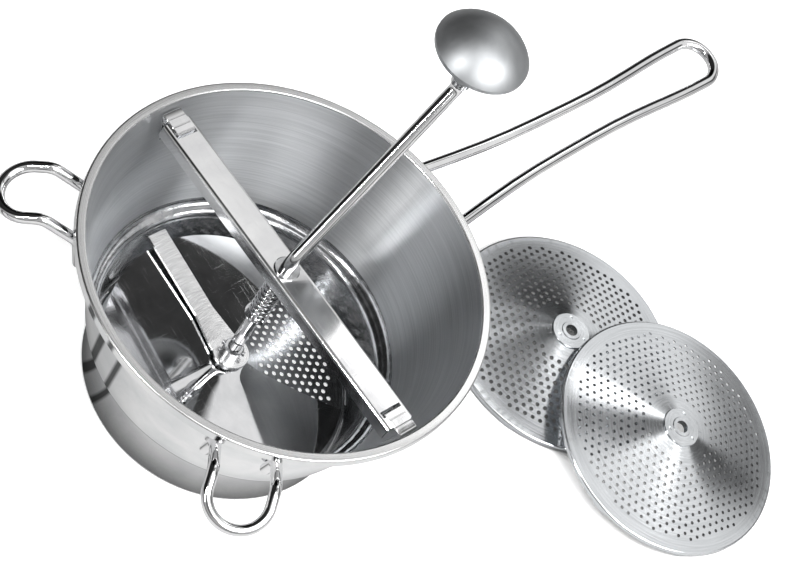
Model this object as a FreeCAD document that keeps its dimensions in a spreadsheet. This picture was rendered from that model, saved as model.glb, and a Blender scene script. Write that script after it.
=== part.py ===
import FreeCAD, Part
import math
import os
import Sketcher
from FreeCAD import Placement, Rotation, Vector

# Hand cranked food mill in stainless steel: a hopper bowl with wire handles, a sprung bridge that
# carries the crank, a blade that presses food through a sieve disc, and two spare sieve discs.
# Millimetres. The bowl stands on z = 0, its axis is Z, and the long handle points along +Y.

DRIVING = [
    # bowl
    ("rim_radius", 120.0),
    ("rim_height", 127.0),
    ("rim_band", 5.5),
    ("rim_drop", 6.5),
    ("rim_round", 1.1),
    ("rim_tuck", 3.0),
    ("bowl_gauge", 0.9),
    ("shoulder_step", 8.2),
    ("cone_foot_height", 48.5),
    ("base_flare", 2.8),
    ("neck_height", 39.0),
    ("shoulder_round", 5.0),
    ("base_radius", 82.0),
    ("base_round", 2.0),
    ("ledge_width", 8.0),
    # sieve discs
    ("disc_play", 2.1),
    ("disc_gauge", 0.8),
    ("disc_corner", 1.6),
    ("foot_height", 1.2),
    ("foot_width", 9.0),
    ("foot_count", 8),
    ("skirt_height", 3.0),
    ("cone_rise", 12.5),
    ("flare_radius", 340.0),
    ("hub_radius", 12.85),
    ("hub_plate", 1.5),
    ("hub_collar", 0.6),
    ("hub_collar_radius", 6.6),
    ("hub_ring", 1.2),
    ("hub_ring_radius", 11.0),
    ("weld_radius", 1.3),
    ("weld_depth", 0.4),
    ("weld_circle", 9.6),
    ("weld_count", 3),
    # shaft and crank, bent from one wire
    ("wire_radius", 4.0),
    ("running_gap", 0.08),
    ("fixed_gap", 0.03),
    ("crank_reach", 92.0),
    ("crank_angle", 101.0),
    ("crank_corner", 8.0),
    ("crank_rise", 92.0),
    ("crank_bend", 12.0),
    ("spigot_bend", 9.0),
    ("spigot_length", 28.0),
    ("tip_depth", 5.0),
    ("nose_height", 2.0),
    ("nose_radius", 2.5),
    # blade, its hub and the scraper arm
    ("thrust_gap", 0.3),
    ("flange_radius", 10.0),
    ("flange_plate", 1.2),
    ("boss_radius", 8.0),
    ("boss_height", 3.6),
    ("neck_boss_radius", 6.0),
    ("neck_boss_height", 8.6),
    ("hub_chamfer", 0.6),
    ("blade_margin", 2.0),
    ("blade_gauge", 1.0),
    ("blade_clearance", 0.6),
    ("blade_low_edge", 42.0),
    ("blade_fold", 133.0),
    ("blade_sweep", 292.0),
    ("blade_tilt", 6.8),
    ("blade_swell", 6.0),
    ("blade_core_lap", 0.4),
    ("blade_core_inset", 0.2),
    ("blade_rows", 10),
    ("blade_row_bias", 1.6),
    ("blade_low_steps", 12),
    ("blade_high_steps", 14),
    ("arm_play", 1.9),
    ("arm_width", 12.5),
    ("arm_root_width", 19.0),
    ("arm_gauge", 2.0),
    ("arm_tilt", 8.5),
    ("arm_shoulder", 0.76),
    ("arm_taper_end", 28.6),
    ("eye_radius", 11.0),
    ("hub_pin_radius", 1.5),
    ("hub_pin_length", 15.0),
    ("hub_pin_angle", 27.0),
    ("hub_pin_cover", 1.05),
    # bridge and its catches
    ("bridge_drop", 6.0),
    ("bridge_play", 7.08),
    ("bridge_width", 20.0),
    ("bridge_flange", 9.0),
    ("bridge_gauge", 1.5),
    ("bridge_round", 2.2),
    ("slot_inset", 8.4),
    ("slot_length", 4.2),
    ("catch_width", 12.5),
    ("catch_gauge", 1.5),
    ("catch_height", 18.0),
    ("catch_tip", 3.6),
    ("catch_gap", 0.25),
    ("catch_round", 1.35),
    ("slot_margin", 0.9),
    ("bush_radius", 6.0),
    ("bush_head_radius", 7.6),
    ("bush_head", 1.0),
    ("washer_radius", 7.4),
    ("washer_gauge", 1.0),
    # spring and what it stands on
    ("spring_space", 46.0),
    ("spring_wire", 1.7),
    ("spring_mean_radius", 5.5),
    ("spring_turns", 10),
    ("seat_radius", 7.2),
    ("seat_gauge", 1.2),
    ("stop_pin_radius", 1.2),
    ("stop_pin_length", 13.0),
    # knob
    ("knob_radius", 27.0),
    ("knob_dome", 15.0),
    ("knob_shell", 0.8),
    ("knob_edge", 2.4),
    ("knob_underside", 25.0),
    ("knob_stem", 9.0),
    ("knob_flare", 32.0),
    ("knob_bush_wall", 1.5),
    ("knob_bush_length", 21.0),
    ("knob_bush_rise", 4.5),
    ("knob_seat_lift", 1.2),
    ("knob_edge_gap", 0.09),
    ("knob_hem", 1.28),
    ("knob_rim_step", 0.32),
    ("retainer_radius", 6.6),
    ("retainer_gauge", 1.0),
    # wire handles on the bowl
    ("handle_wire", 3.5),
    ("hook_wire", 3.25),
    ("weld_gap", 0.12),
    ("handle_length", 240.0),
    ("handle_spread", 21.0),
    ("handle_neck", 13.6),
    ("handle_neck_out", 63.4),
    ("handle_waist", 11.6),
    ("handle_waist_back", 88.3),
    ("handle_loop", 15.2),
    ("handle_flare_back", 34.4),
    ("handle_leg", 26.0),
    ("handle_below_rim", 11.5),
    ("handle_lift", 16.0),
    ("handle_bend", 10.0),
    ("loop_flat", 0.48),
    ("arc_spacing", 2.0),
    ("hook_spread", 17.0),
    ("hook_loop", 17.2),
    ("hook_leg", 21.0),
    ("hook_below_rim", 14.0),
    ("hook_hump_out", 16.0),
    ("hook_hump_up", 10.0),
    ("hook_length", 43.5),
    ("hook_tip_up", 0.0),
    ("hook_bend", 9.0),
    ("hook_left_angle", 225.2),
    ("hook_right_angle", 312.3),
    # spare discs, loose beside the mill
    ("spare_x", 88.0),
    ("spare_y", 222.0),
    ("spare_rest", 11.1),
    ("spare_bearing", 10.0),
    ("spare_gap", 0.15),
    ("spare_turn", 20.0),
]

doc = FreeCAD.newDocument("FoodMill")
sheet = doc.addObject("Spreadsheet::Sheet", "Sizes")
for row, (alias, value) in enumerate(DRIVING, start=1):
    sheet.set("A%d" % row, alias)
    sheet.set("B%d" % row, str(value))
    sheet.setAlias("B%d" % row, alias)
doc.recompute()


class Size:
    """A length with the expression that gives it, so that a sketch stays bound to the sheet."""

    def __init__(self, value, text):
        self.value = float(value)
        self.text = text

    def joined(self, sign, other, value):
        return Size(value, "(%s %s %s)" % (self.text, sign, other.text))

    def __add__(self, other):
        other = as_size(other)
        return self.joined("+", other, self.value + other.value)

    def __sub__(self, other):
        other = as_size(other)
        return self.joined("-", other, self.value - other.value)

    def __mul__(self, other):
        other = as_size(other)
        return self.joined("*", other, self.value * other.value)

    def __truediv__(self, other):
        other = as_size(other)
        return self.joined("/", other, self.value / other.value)

    def __neg__(self):
        return Size(-self.value, "(-1 * %s)" % self.text)


def as_size(value):
    if isinstance(value, Size):
        return value
    return Size(value, repr(float(value)))


class Sizes:
    """Every alias of the sheet as a Size."""

    def __getattr__(self, alias):
        return Size(sheet.get(alias), "Sizes." + alias)


VOLUME_TOLERANCE = 0.02
S = Sizes()
ZERO = as_size(0.0)
made = []


# ---------------------------------------------------------------- helpers

def plane(body, role):
    return [f for f in body.Origin.OriginFeatures if f.Role == role][0]


def new_body(label):
    body = doc.addObject("PartDesign::Body", label)
    body.Label = label
    return body


def new_sketch(body, role, name):
    sketch = body.newObject("Sketcher::SketchObject", name)
    sketch.AttachmentSupport = [(plane(body, role), "")]
    sketch.MapMode = "FlatFace"
    return sketch


def arc_between(start, end, radius):
    """Short arc from start to end. A positive radius turns left, a negative one turns right."""
    chord = end - start
    half = chord.Length / 2
    side = 1 if radius > 0 else -1
    normal = Vector(-chord.y, chord.x, 0).normalize() * side
    centre = (start + end) / 2 + normal * math.sqrt(max(radius * radius - half * half, 0))
    first, last = (start, end) if side > 0 else (end, start)
    angles = [math.atan2(p.y - centre.y, p.x - centre.x) for p in (first, last)]
    if angles[1] < angles[0]:
        angles[1] += 2 * math.pi
    circle = Part.Circle(centre, Vector(0, 0, 1), abs(radius))
    return Part.ArcOfCircle(circle, angles[0], angles[1])


def fix_coordinate(sketch, kind, axis, index, position, size):
    """Ties one coordinate of a sketch point to the sheet, or puts the point on an axis."""
    if size is ZERO:
        sketch.addConstraint(Sketcher.Constraint("PointOnObject", index, position, axis))
        return
    number = sketch.addConstraint(Sketcher.Constraint(kind, -1, 1, index, position, size.value))
    sketch.setExpression("Constraints[%d]" % number, size.text)


def draw_outline(sketch, corners):
    """Closed outline. A corner is (x, y), or (x, y, radius) where an arc leads to the next corner."""
    points = [Vector(c[0].value, c[1].value, 0) for c in corners]
    count = len(corners)
    head, tail = [], []
    for i, corner in enumerate(corners):
        start, end = points[i], points[(i + 1) % count]
        if len(corner) == 3:
            sketch.addGeometry(arc_between(start, end, corner[2].value), False)
            turns_left = corner[2].value > 0
            head.append(1 if turns_left else 2)
            tail.append(2 if turns_left else 1)
        else:
            sketch.addGeometry(Part.LineSegment(start, end), False)
            head.append(1)
            tail.append(2)
    for i in range(count):
        after = (i + 1) % count
        sketch.addConstraint(Sketcher.Constraint("Coincident", i, tail[i], after, head[after]))
    for i, corner in enumerate(corners):
        fix_coordinate(sketch, "DistanceX", -2, i, head[i], corner[0])
        fix_coordinate(sketch, "DistanceY", -1, i, head[i], corner[1])
        if len(corner) == 3:
            radius = corner[2] if corner[2].value > 0 else -corner[2]
            number = sketch.addConstraint(Sketcher.Constraint("Radius", i, radius.value))
            sketch.setExpression("Constraints[%d]" % number, radius.text)


def draw_circle(sketch, x, y, radius):
    circle = Part.Circle(Vector(x.value, y.value, 0), Vector(0, 0, 1), radius.value)
    index = sketch.addGeometry(circle, False)
    fix_coordinate(sketch, "DistanceX", -2, index, 3, x)
    fix_coordinate(sketch, "DistanceY", -1, index, 3, y)
    number = sketch.addConstraint(Sketcher.Constraint("Radius", index, radius.value))
    sketch.setExpression("Constraints[%d]" % number, radius.text)


def rectangle(x0, y0, x1, y1):
    return [(x0, y0), (x1, y0), (x1, y1), (x0, y1)]


def turned(label, corners):
    """A body turned about Z from an outline in radius and height."""
    body = new_body(label)
    sketch = new_sketch(body, "XZ_Plane", label + "_profile")
    draw_outline(sketch, corners)
    turn = body.newObject("PartDesign::Revolution", label + "_turn")
    turn.Profile = sketch
    turn.ReferenceAxis = (sketch, ["V_Axis"])
    turn.Angle = 360
    sketch.Visibility = False
    return body


def pocket_through(body, sketch, name):
    doc.recompute()
    before = body.Shape.Volume
    pocket = body.newObject("PartDesign::Pocket", name)
    pocket.Profile = sketch
    pocket.Type = 1
    pocket.Midplane = True
    doc.recompute()
    if body.Shape.Volume >= before:
        raise RuntimeError(name + " cuts nothing")
    return pocket


def primitive(kind, name, **sizes):
    """A Part primitive with its properties bound to the sheet."""
    item = doc.addObject(kind, name)
    for key, size in sizes.items():
        item.setExpression(key, as_size(size).text)
    return item


def tube(label, inner, outer, bottom, height):
    """A plain turned ring: a washer, bush or sleeve."""
    ring = doc.addObject("Part::Cut", label)
    ring.Label = label
    ring.Base = primitive("Part::Cylinder", label + "_outside", Radius=outer, Height=height)
    ring.Tool = primitive("Part::Cylinder", label + "_bore", Radius=inner, Height=height)
    ring.setExpression("Placement.Base.z", bottom.text)
    return ring


def cross_pin(label, radius, length, height, angle):
    """A round pin that lies across the Z axis."""
    pin = primitive("Part::Cylinder", label, Radius=radius, Height=length)
    pin.Label = label
    turn = Rotation(Vector(0, 0, 1), angle.value) * Rotation(Vector(0, 1, 0), 90)
    start = turn.multVec(Vector(0, 0, -length.value / 2)) + Vector(0, 0, height.value)
    pin.Placement = Placement(start, turn)
    return pin


def coded(label, shape, placement=None):
    """A sub-part whose shape is worked out in code from the sheet's values."""
    feature = doc.addObject("Part::Feature", label)
    feature.Label = label
    feature.Shape = shape
    if placement is not None:
        feature.Placement = placement
    return feature


def keep(item):
    made.append(item)
    return item


def wire_path(points, bends):
    """Straight runs joined by tangent arcs. bends holds the radius at each inner point, or None
    for the widest arc that the two runs beside it allow."""
    edges = []
    start = points[0]
    for i in range(1, len(points) - 1):
        back = (points[i - 1] - points[i]).normalize()
        ahead = (points[i + 1] - points[i]).normalize()
        half = (math.pi - back.getAngle(ahead)) / 2
        shorter = min(points[i].distanceToPoint(points[i - 1]),
                      points[i].distanceToPoint(points[i + 1]))
        widest = (shorter - S.arc_spacing.value) / 2 / math.tan(half)
        bend = widest if bends[i - 1] is None else bends[i - 1]
        cut = bend * math.tan(half)
        first = points[i] + back * cut
        last = points[i] + ahead * cut
        bisector = (back + ahead).normalize()
        centre = points[i] + bisector * (bend / math.cos(half))
        middle = centre - bisector * bend
        edges.append(Part.LineSegment(start, first).toShape())
        edges.append(Part.Arc(first, middle, last).toShape())
        start = last
    edges.append(Part.LineSegment(start, points[-1]).toShape())
    return Part.Wire(edges)


def bent_wire(points, bends, radius):
    """Round wire along a bent path."""
    path = wire_path(points, bends)
    circle = Part.Circle(points[0], (points[1] - points[0]).normalize(), radius)
    section = Part.Wire([circle.toShape()])
    solid = path.makePipeShell([section], True, False)
    if solid.Volume < 0:
        solid.reverse()
    expected = math.pi * radius * radius * path.Length
    if abs(solid.Volume / expected - 1) > VOLUME_TOLERANCE:
        raise RuntimeError("bent wire has the wrong volume")
    return solid


# ---------------------------------------------------------------- heights that pieces share

ledge_radius = S.base_radius - S.ledge_width
neck_radius = S.base_radius + S.base_flare
cone_foot_radius = neck_radius + S.shoulder_step
disc_radius = S.base_radius - S.bowl_gauge - S.disc_play
blade_radius = disc_radius - S.blade_margin
arm_reach = neck_radius - S.bowl_gauge - S.arm_play
wall_top_radius = S.rim_radius - S.rim_band
wall_top_height = S.rim_height - S.rim_round
wall_foot_radius = cone_foot_radius - S.bowl_gauge
wall_slope = (wall_top_radius - wall_foot_radius) / (wall_top_height - S.cone_foot_height)
disc_seat = S.bowl_gauge
skirt_top = S.foot_height + S.skirt_height
disc_crown = skirt_top + S.cone_rise
disc_bore = S.wire_radius + S.running_gap
hub_top = disc_seat + disc_crown + S.hub_plate + S.hub_collar
flange_foot = hub_top + S.thrust_gap
blade_foot = flange_foot + S.flange_plate
arm_foot = blade_foot + S.boss_height
hub_crown = arm_foot + S.neck_boss_height
hub_pin_height = hub_crown - S.hub_pin_radius - S.hub_pin_cover
bridge_top = S.rim_height - S.bridge_drop
bridge_web_foot = bridge_top - S.bridge_gauge
spring_top = bridge_web_foot - S.washer_gauge
seat_foot = spring_top - S.spring_space - S.seat_gauge
shaft_bore = S.wire_radius + S.running_gap
knob_foot = bridge_top + S.crank_corner + S.crank_rise
knob_bush_foot = knob_foot + S.knob_bush_rise
knob_rim = knob_foot + S.knob_stem + S.knob_underside


def wall_inside(height):
    """Inside radius of the conical wall at a height."""
    return wall_top_radius - (wall_top_height - height) * wall_slope


bridge_half = wall_inside(bridge_top) - S.bridge_play


# ---------------------------------------------------------------- bowl

def make_bowl():
    gauge = S.bowl_gauge
    middle_x = (neck_radius + cone_foot_radius) / 2
    middle_y = (S.neck_height + S.cone_foot_height) / 2
    rim_foot = S.rim_height - S.rim_drop
    tuck = S.rim_radius - S.rim_tuck
    corners = [
        (ledge_radius, ZERO),
        (S.base_radius - S.base_round, ZERO, S.base_round),
        (S.base_radius, S.base_round),
        (neck_radius, S.neck_height, -S.shoulder_round),
        (middle_x, middle_y, S.shoulder_round),
        (cone_foot_radius, S.cone_foot_height),
        (wall_top_radius + gauge, S.rim_height - gauge),
        (S.rim_radius - gauge, S.rim_height - gauge),
        (S.rim_radius - gauge, rim_foot + gauge),
        (tuck, rim_foot + gauge),
        (tuck, rim_foot),
        (S.rim_radius - S.rim_round, rim_foot, S.rim_round),
        (S.rim_radius, rim_foot + S.rim_round),
        (S.rim_radius, S.rim_height - S.rim_round, S.rim_round),
        (S.rim_radius - S.rim_round, S.rim_height),
        (wall_top_radius + S.rim_round, S.rim_height, S.rim_round),
        (wall_top_radius, wall_top_height),
        (wall_foot_radius, S.cone_foot_height, -S.shoulder_round),
        (middle_x - gauge, middle_y, S.shoulder_round),
        (neck_radius - gauge, S.neck_height),
        (S.base_radius - gauge, S.base_round, -(S.base_round - gauge)),
        (S.base_radius - S.base_round, gauge),
        (ledge_radius, gauge),
    ]
    return turned("bowl", corners)


# ---------------------------------------------------------------- sieve discs

def make_disc(label):
    """Flared sieve plate with a turned-down skirt and short feet. Its feet stand on z = 0."""
    gauge = S.disc_gauge
    corner = S.disc_corner
    corners = [
        (disc_radius - gauge, S.foot_height),
        (disc_radius, S.foot_height),
        (disc_radius, skirt_top - corner, corner),
        (disc_radius - corner, skirt_top, -S.flare_radius),
        (S.hub_radius, disc_crown),
        (disc_bore, disc_crown),
        (disc_bore, disc_crown - gauge),
        (S.hub_radius, disc_crown - gauge, S.flare_radius),
        (disc_radius - corner, skirt_top - gauge, -(corner - gauge)),
        (disc_radius - gauge, skirt_top - corner),
    ]
    body = turned(label, corners)
    sketch = new_sketch(body, "XY_Plane", label + "_foot_plan")
    inner = disc_radius - gauge
    draw_outline(sketch, [
        (inner, -(S.foot_width / 2)),
        (disc_radius - gauge / 4, -(S.foot_width / 2)),
        (disc_radius - gauge / 4, S.foot_width / 2),
        (inner, S.foot_width / 2),
    ])
    foot = body.newObject("PartDesign::Pad", label + "_foot")
    foot.Profile = sketch
    foot.setExpression("Length", (S.foot_height + S.skirt_height / 3).text)
    pattern = body.newObject("PartDesign::PolarPattern", label + "_feet")
    pattern.Originals = [foot]
    pattern.Axis = (sketch, ["N_Axis"])
    pattern.Angle = 360
    pattern.setExpression("Occurrences", S.foot_count.text)
    body.Tip = pattern
    sketch.Visibility = False
    return body


def make_disc_hub(label):
    """Upper hub plate with a raised collar and three shallow weld marks."""
    plate_foot = disc_crown
    plate_top = disc_crown + S.hub_plate
    collar_top = plate_top + S.hub_collar
    edge = S.hub_plate / 4
    body = turned(label, [
        (disc_bore, plate_foot),
        (S.hub_radius, plate_foot),
        (S.hub_radius, plate_top - edge),
        (S.hub_radius - edge, plate_top),
        (S.hub_collar_radius, plate_top),
        (S.hub_collar_radius - edge, collar_top),
        (disc_bore, collar_top),
    ])
    sketch = new_sketch(body, "XY_Plane", label + "_weld_plan")
    sketch.AttachmentOffset = Placement(Vector(0, 0, plate_top.value), Rotation())
    sketch.setExpression("AttachmentOffset.Base.z", plate_top.text)
    draw_circle(sketch, S.weld_circle, ZERO, S.weld_radius)
    doc.recompute()
    before = body.Shape.Volume
    weld = body.newObject("PartDesign::Pocket", label + "_weld")
    weld.Profile = sketch
    weld.setExpression("Length", S.weld_depth.text)
    pattern = body.newObject("PartDesign::PolarPattern", label + "_welds")
    pattern.Originals = [weld]
    pattern.Axis = (sketch, ["N_Axis"])
    pattern.Angle = 360
    pattern.setExpression("Occurrences", S.weld_count.text)
    body.Tip = pattern
    doc.recompute()
    if body.Shape.Volume >= before:
        raise RuntimeError(label + " has no weld marks")
    return body


def make_disc_ring(label):
    """Lower hub plate, under the sieve plate."""
    foot = disc_crown - S.disc_gauge - S.hub_ring
    return tube(label, disc_bore, S.hub_ring_radius, foot, S.hub_ring)


def make_sieve(prefix, placement):
    """The three pieces of one sieve disc at their place."""
    disc = keep(make_disc(prefix))
    hub = keep(make_disc_hub(prefix + "_hub"))
    ring = keep(make_disc_ring(prefix + "_hub_ring"))
    doc.recompute()
    lift = ring.Placement
    ring.setExpression("Placement.Base.z", None)
    ring.Placement = placement.multiply(lift)
    disc.Placement = placement
    hub.Placement = placement


# ---------------------------------------------------------------- wire handles on the bowl

def leg_radius(height, wire):
    """Distance from the mill's axis to a wire that lies on the outside of the conical wall."""
    slope = wall_slope.value
    outside = wall_inside(as_size(height)).value + S.bowl_gauge.value
    return outside + (wire + S.weld_gap.value) * math.sqrt(1 + slope * slope)


def leg_point(height, offset, wire):
    """Centre of a leg on the wall, at a sideways offset from the radial line along +X."""
    reach = leg_radius(height, wire)
    return Vector(math.sqrt(reach * reach - offset * offset), offset, height)


def make_long_handle():
    wire = S.handle_wire.value
    spread = S.handle_spread.value
    root_height = (S.rim_height - S.handle_below_rim).value
    foot = leg_point(root_height - S.handle_leg.value, spread, wire)
    root = leg_point(root_height, spread, wire)
    span = (S.rim_radius + S.handle_length).value - wire - root.x

    def along(distance, offset):
        lift = S.handle_lift.value * distance / span
        return Vector(root.x + distance, offset, root_height + lift)

    loop = S.handle_loop.value
    half = [
        foot,
        root,
        along(S.handle_neck_out.value, S.handle_neck.value),
        along(span - S.handle_waist_back.value, S.handle_waist.value),
        along(span - S.handle_flare_back.value, loop),
        along(span, loop),
    ]
    bends = [S.handle_bend.value, None, None, None, loop - S.loop_flat.value]
    mirrored = [Vector(p.x, -p.y, p.z) for p in reversed(half)]
    shape = bent_wire(half + mirrored, bends + bends[::-1], wire)
    turn = Placement(Vector(0, 0, 0), Rotation(Vector(0, 0, 1), 90))
    return coded("long_handle", shape, turn)


def make_hook(label, angle):
    """Pot hook: two legs on the wall, a hump past the rim and a round loop at the outer end."""
    wire = S.hook_wire.value
    spread = S.hook_spread.value
    loop = S.hook_loop.value
    root_height = (S.rim_height - S.hook_below_rim).value
    foot = leg_point(root_height - S.hook_leg.value, spread, wire)
    root = leg_point(root_height, spread, wire)
    hump_x = (S.rim_radius + S.hook_hump_out).value
    hump = Vector(hump_x, (spread + loop) / 2, root_height + S.hook_hump_up.value)
    reach = (S.rim_radius + S.hook_length).value - wire
    tip = Vector(reach, loop, root_height + S.hook_tip_up.value)
    half = [foot, root, hump, tip]
    bend = S.hook_bend.value
    bends = [bend, bend, loop - S.loop_flat.value]
    mirrored = [Vector(p.x, -p.y, p.z) for p in reversed(half)]
    shape = bent_wire(half + mirrored, bends + bends[::-1], wire)
    return coded(label, shape, Placement(Vector(0, 0, 0), Rotation(Vector(0, 0, 1), angle)))


# ---------------------------------------------------------------- bridge and catches

def make_bridge():
    half = S.bridge_width / 2
    inner = half - S.bridge_gauge
    foot = bridge_top - S.bridge_flange
    curve = S.bridge_round
    inside = curve - S.bridge_gauge
    body = new_body("bridge")
    sketch = new_sketch(body, "YZ_Plane", "bridge_section")
    draw_outline(sketch, [
        (half, foot),
        (half, bridge_top - curve, curve),
        (half - curve, bridge_top),
        (-(half - curve), bridge_top, curve),
        (-half, bridge_top - curve),
        (-half, foot),
        (-inner, foot),
        (-inner, bridge_web_foot - inside, -inside),
        (-(inner - inside), bridge_web_foot),
        (inner - inside, bridge_web_foot, -inside),
        (inner, bridge_web_foot - inside),
        (inner, foot),
    ])
    pad = body.newObject("PartDesign::Pad", "bridge_pad")
    pad.Profile = sketch
    pad.setExpression("Length", (bridge_half * 2).text)
    pad.Midplane = True
    slot_half = S.catch_width / 2 + S.slot_margin
    for side, name in ((1, "right"), (-1, "left")):
        plan = new_sketch(body, "XY_Plane", "bridge_slot_" + name)
        outer = (bridge_half - S.slot_inset + S.slot_length / 2) * side
        inner_end = (bridge_half - S.slot_inset - S.slot_length / 2) * side
        draw_outline(plan, rectangle(inner_end, -slot_half, outer, slot_half))
        pocket_through(body, plan, "bridge_slot_cut_" + name)
    plan = new_sketch(body, "XY_Plane", "bridge_bush_plan")
    draw_circle(plan, ZERO, ZERO, S.bush_radius + S.fixed_gap)
    pocket_through(body, plan, "bridge_bush_hole")
    return body


def make_bridge_bush():
    """Headed bush: its head lies on the bridge, and its body is flush with the washer below."""
    return turned("bridge_bush", [
        (shaft_bore, spring_top),
        (S.bush_radius, spring_top),
        (S.bush_radius, bridge_top),
        (S.bush_head_radius, bridge_top),
        (S.bush_head_radius, bridge_top + S.bush_head / 2),
        (S.bush_head_radius - S.bush_head / 2, bridge_top + S.bush_head),
        (shaft_bore, bridge_top + S.bush_head),
    ])


def make_catch(label, angle):
    """Strip on the wall whose tongue lies over the bridge's end and hooks into its slot."""
    gauge = S.catch_gauge
    tongue_foot = bridge_top + S.catch_gap / 2
    tongue_top = tongue_foot + gauge
    foot = tongue_top - S.catch_height
    tip_foot = tongue_foot - S.catch_tip
    tip_outer = bridge_half - S.slot_inset + gauge / 2
    tip_inner = tip_outer - gauge
    curve = S.catch_round

    def on_wall(height):
        return wall_inside(height) - S.catch_gap

    body = new_body(label)
    sketch = new_sketch(body, "XZ_Plane", label + "_section")
    draw_outline(sketch, [
        (on_wall(foot), foot),
        (on_wall(tongue_top - curve), tongue_top - curve, curve),
        (on_wall(tongue_top - curve) - curve, tongue_top),
        (tip_inner + curve, tongue_top, curve),
        (tip_inner, tongue_top - curve),
        (tip_inner, tip_foot),
        (tip_outer, tip_foot),
        (tip_outer, tongue_foot),
        (on_wall(tongue_foot) - gauge, tongue_foot),
        (on_wall(foot) - gauge, foot),
    ])
    pad = body.newObject("PartDesign::Pad", label + "_pad")
    pad.Profile = sketch
    pad.setExpression("Length", S.catch_width.text)
    pad.Midplane = True
    body.Placement = Placement(Vector(0, 0, 0), Rotation(Vector(0, 0, 1), angle))
    return body


# ---------------------------------------------------------------- crank, spring and knob

def across(radius, length, height, angle):
    """Solid cylinder across the axis, for a pin's hole."""
    direction = Vector(math.cos(math.radians(angle)), math.sin(math.radians(angle)), 0)
    start = Vector(0, 0, height) - direction * (length / 2)
    return Part.makeCylinder(radius, length, start, direction)


def make_crank():
    """Shaft and crank bent from one wire, cross-drilled for its two pins."""
    angle = math.radians(S.crank_angle.value)
    reach = S.crank_reach.value
    outward = Vector(math.cos(angle), math.sin(angle), 0) * reach
    tip = (hub_top - S.tip_depth).value
    corner = (bridge_top + S.crank_corner).value
    top = knob_foot.value
    points = [
        Vector(0, 0, tip),
        Vector(0, 0, corner),
        outward + Vector(0, 0, top),
        outward + Vector(0, 0, top + S.spigot_length.value),
    ]
    radius = S.wire_radius.value
    shape = bent_wire(points, [S.crank_bend.value, S.spigot_bend.value], radius)
    fixed = S.fixed_gap.value
    pins = [
        (S.hub_pin_radius, S.hub_pin_length, hub_pin_height, S.hub_pin_angle),
        (S.stop_pin_radius, S.stop_pin_length, stop_pin_height, S.crank_angle),
    ]
    for pin_radius, length, height, turn in pins:
        hole = across(pin_radius.value + fixed, length.value, height.value, turn.value)
        shape = shape.cut(hole)
    nose_height = S.nose_height.value
    nose = Part.makeCone(S.nose_radius.value, radius, nose_height, Vector(0, 0, tip))
    collar = Part.makeCylinder(radius * 2, nose_height, Vector(0, 0, tip))
    shape = shape.cut(collar.cut(nose))
    return coded("crank", shape.Solids[0])


def make_spring():
    pitch_space = S.spring_space.value - S.spring_wire.value - 2 * S.thrust_gap.value
    pitch = pitch_space / S.spring_turns.value
    radius = S.spring_mean_radius.value
    foot = seat_foot.value + S.seat_gauge.value + S.spring_wire.value / 2 + S.thrust_gap.value
    helix = Part.makeHelix(pitch, pitch_space, radius)
    circle = Part.Circle(Vector(radius, 0, 0), Vector(0, 1, 0), S.spring_wire.value / 2)
    section = Part.Wire([circle.toShape()])
    shape = Part.Wire(helix.Edges).makePipeShell([section], True, True)
    return coded("spring", shape, Placement(Vector(0, 0, foot), Rotation()))


def at_knob(item):
    """Moves a turned piece onto the crank's spigot."""
    angle = math.radians(S.crank_angle.value)
    reach = S.crank_reach.value
    lift = item.Placement.Base.z
    place = Vector(math.cos(angle) * reach, math.sin(angle) * reach, lift)
    item.Placement = Placement(place, Rotation())
    item.setExpression("Placement.Base.x", "Sizes.crank_reach * cos(Sizes.crank_angle * 1 deg)")
    item.setExpression("Placement.Base.y", "Sizes.crank_reach * sin(Sizes.crank_angle * 1 deg)")
    return item


def make_knob_base():
    """Lower shell: a trumpet that rises from a short sleeve to the knob's edge."""
    shell = S.knob_shell
    sleeve = shaft_bore + S.knob_bush_wall + S.fixed_gap
    foot = knob_foot + S.knob_stem
    edge = S.knob_radius - shell - S.knob_edge_gap
    seat = knob_rim - S.knob_edge + S.knob_seat_lift
    return turned("knob_base", [
        (sleeve, foot),
        (sleeve + shell, foot, -S.knob_flare),
        (edge - shell, seat),
        (edge, seat),
        (edge, seat + shell),
        (edge - shell * 2, seat + shell, S.knob_flare),
        (sleeve, foot + shell * 2),
    ])


def make_knob_top():
    """Upper shell: a shallow dome, rolled round the edge of the lower shell."""
    shell = S.knob_shell
    foot = knob_rim - S.knob_edge
    crown = knob_rim + S.knob_dome
    outer = (S.knob_radius * S.knob_radius + S.knob_dome * S.knob_dome) / (S.knob_dome * 2)
    inside = S.knob_radius - shell
    inner_rise = S.knob_dome - shell + S.knob_rim_step
    inner = (inside * inside + inner_rise * inner_rise) / (inner_rise * 2)
    return turned("knob_top", [
        (inside - S.knob_hem, foot),
        (S.knob_radius - shell / 2, foot, shell / 2),
        (S.knob_radius, foot + shell / 2),
        (S.knob_radius, knob_rim, outer),
        (ZERO, crown),
        (ZERO, crown - shell, -inner),
        (inside, knob_rim - S.knob_rim_step),
        (inside, foot + shell),
        (inside - S.knob_hem, foot + shell),
    ])


# ---------------------------------------------------------------- blade and arm

def sieve_surface(radius):
    """Height of the seated sieve plate's upper face at a radius."""
    outer = disc_radius.value - S.disc_corner.value
    inner = S.hub_radius.value
    low = skirt_top.value
    high = disc_crown.value
    flare = S.flare_radius.value
    start = Vector(outer, low, 0)
    end = Vector(inner, high, 0)
    chord = end - start
    half = chord.Length / 2
    normal = Vector(chord.y, -chord.x, 0).normalize()
    centre = (start + end) / 2 + normal * math.sqrt(flare * flare - half * half)
    inset = min(max(radius, inner / 2), outer)
    return disc_seat.value + centre.y - math.sqrt(flare * flare - (inset - centre.x) ** 2)


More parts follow.
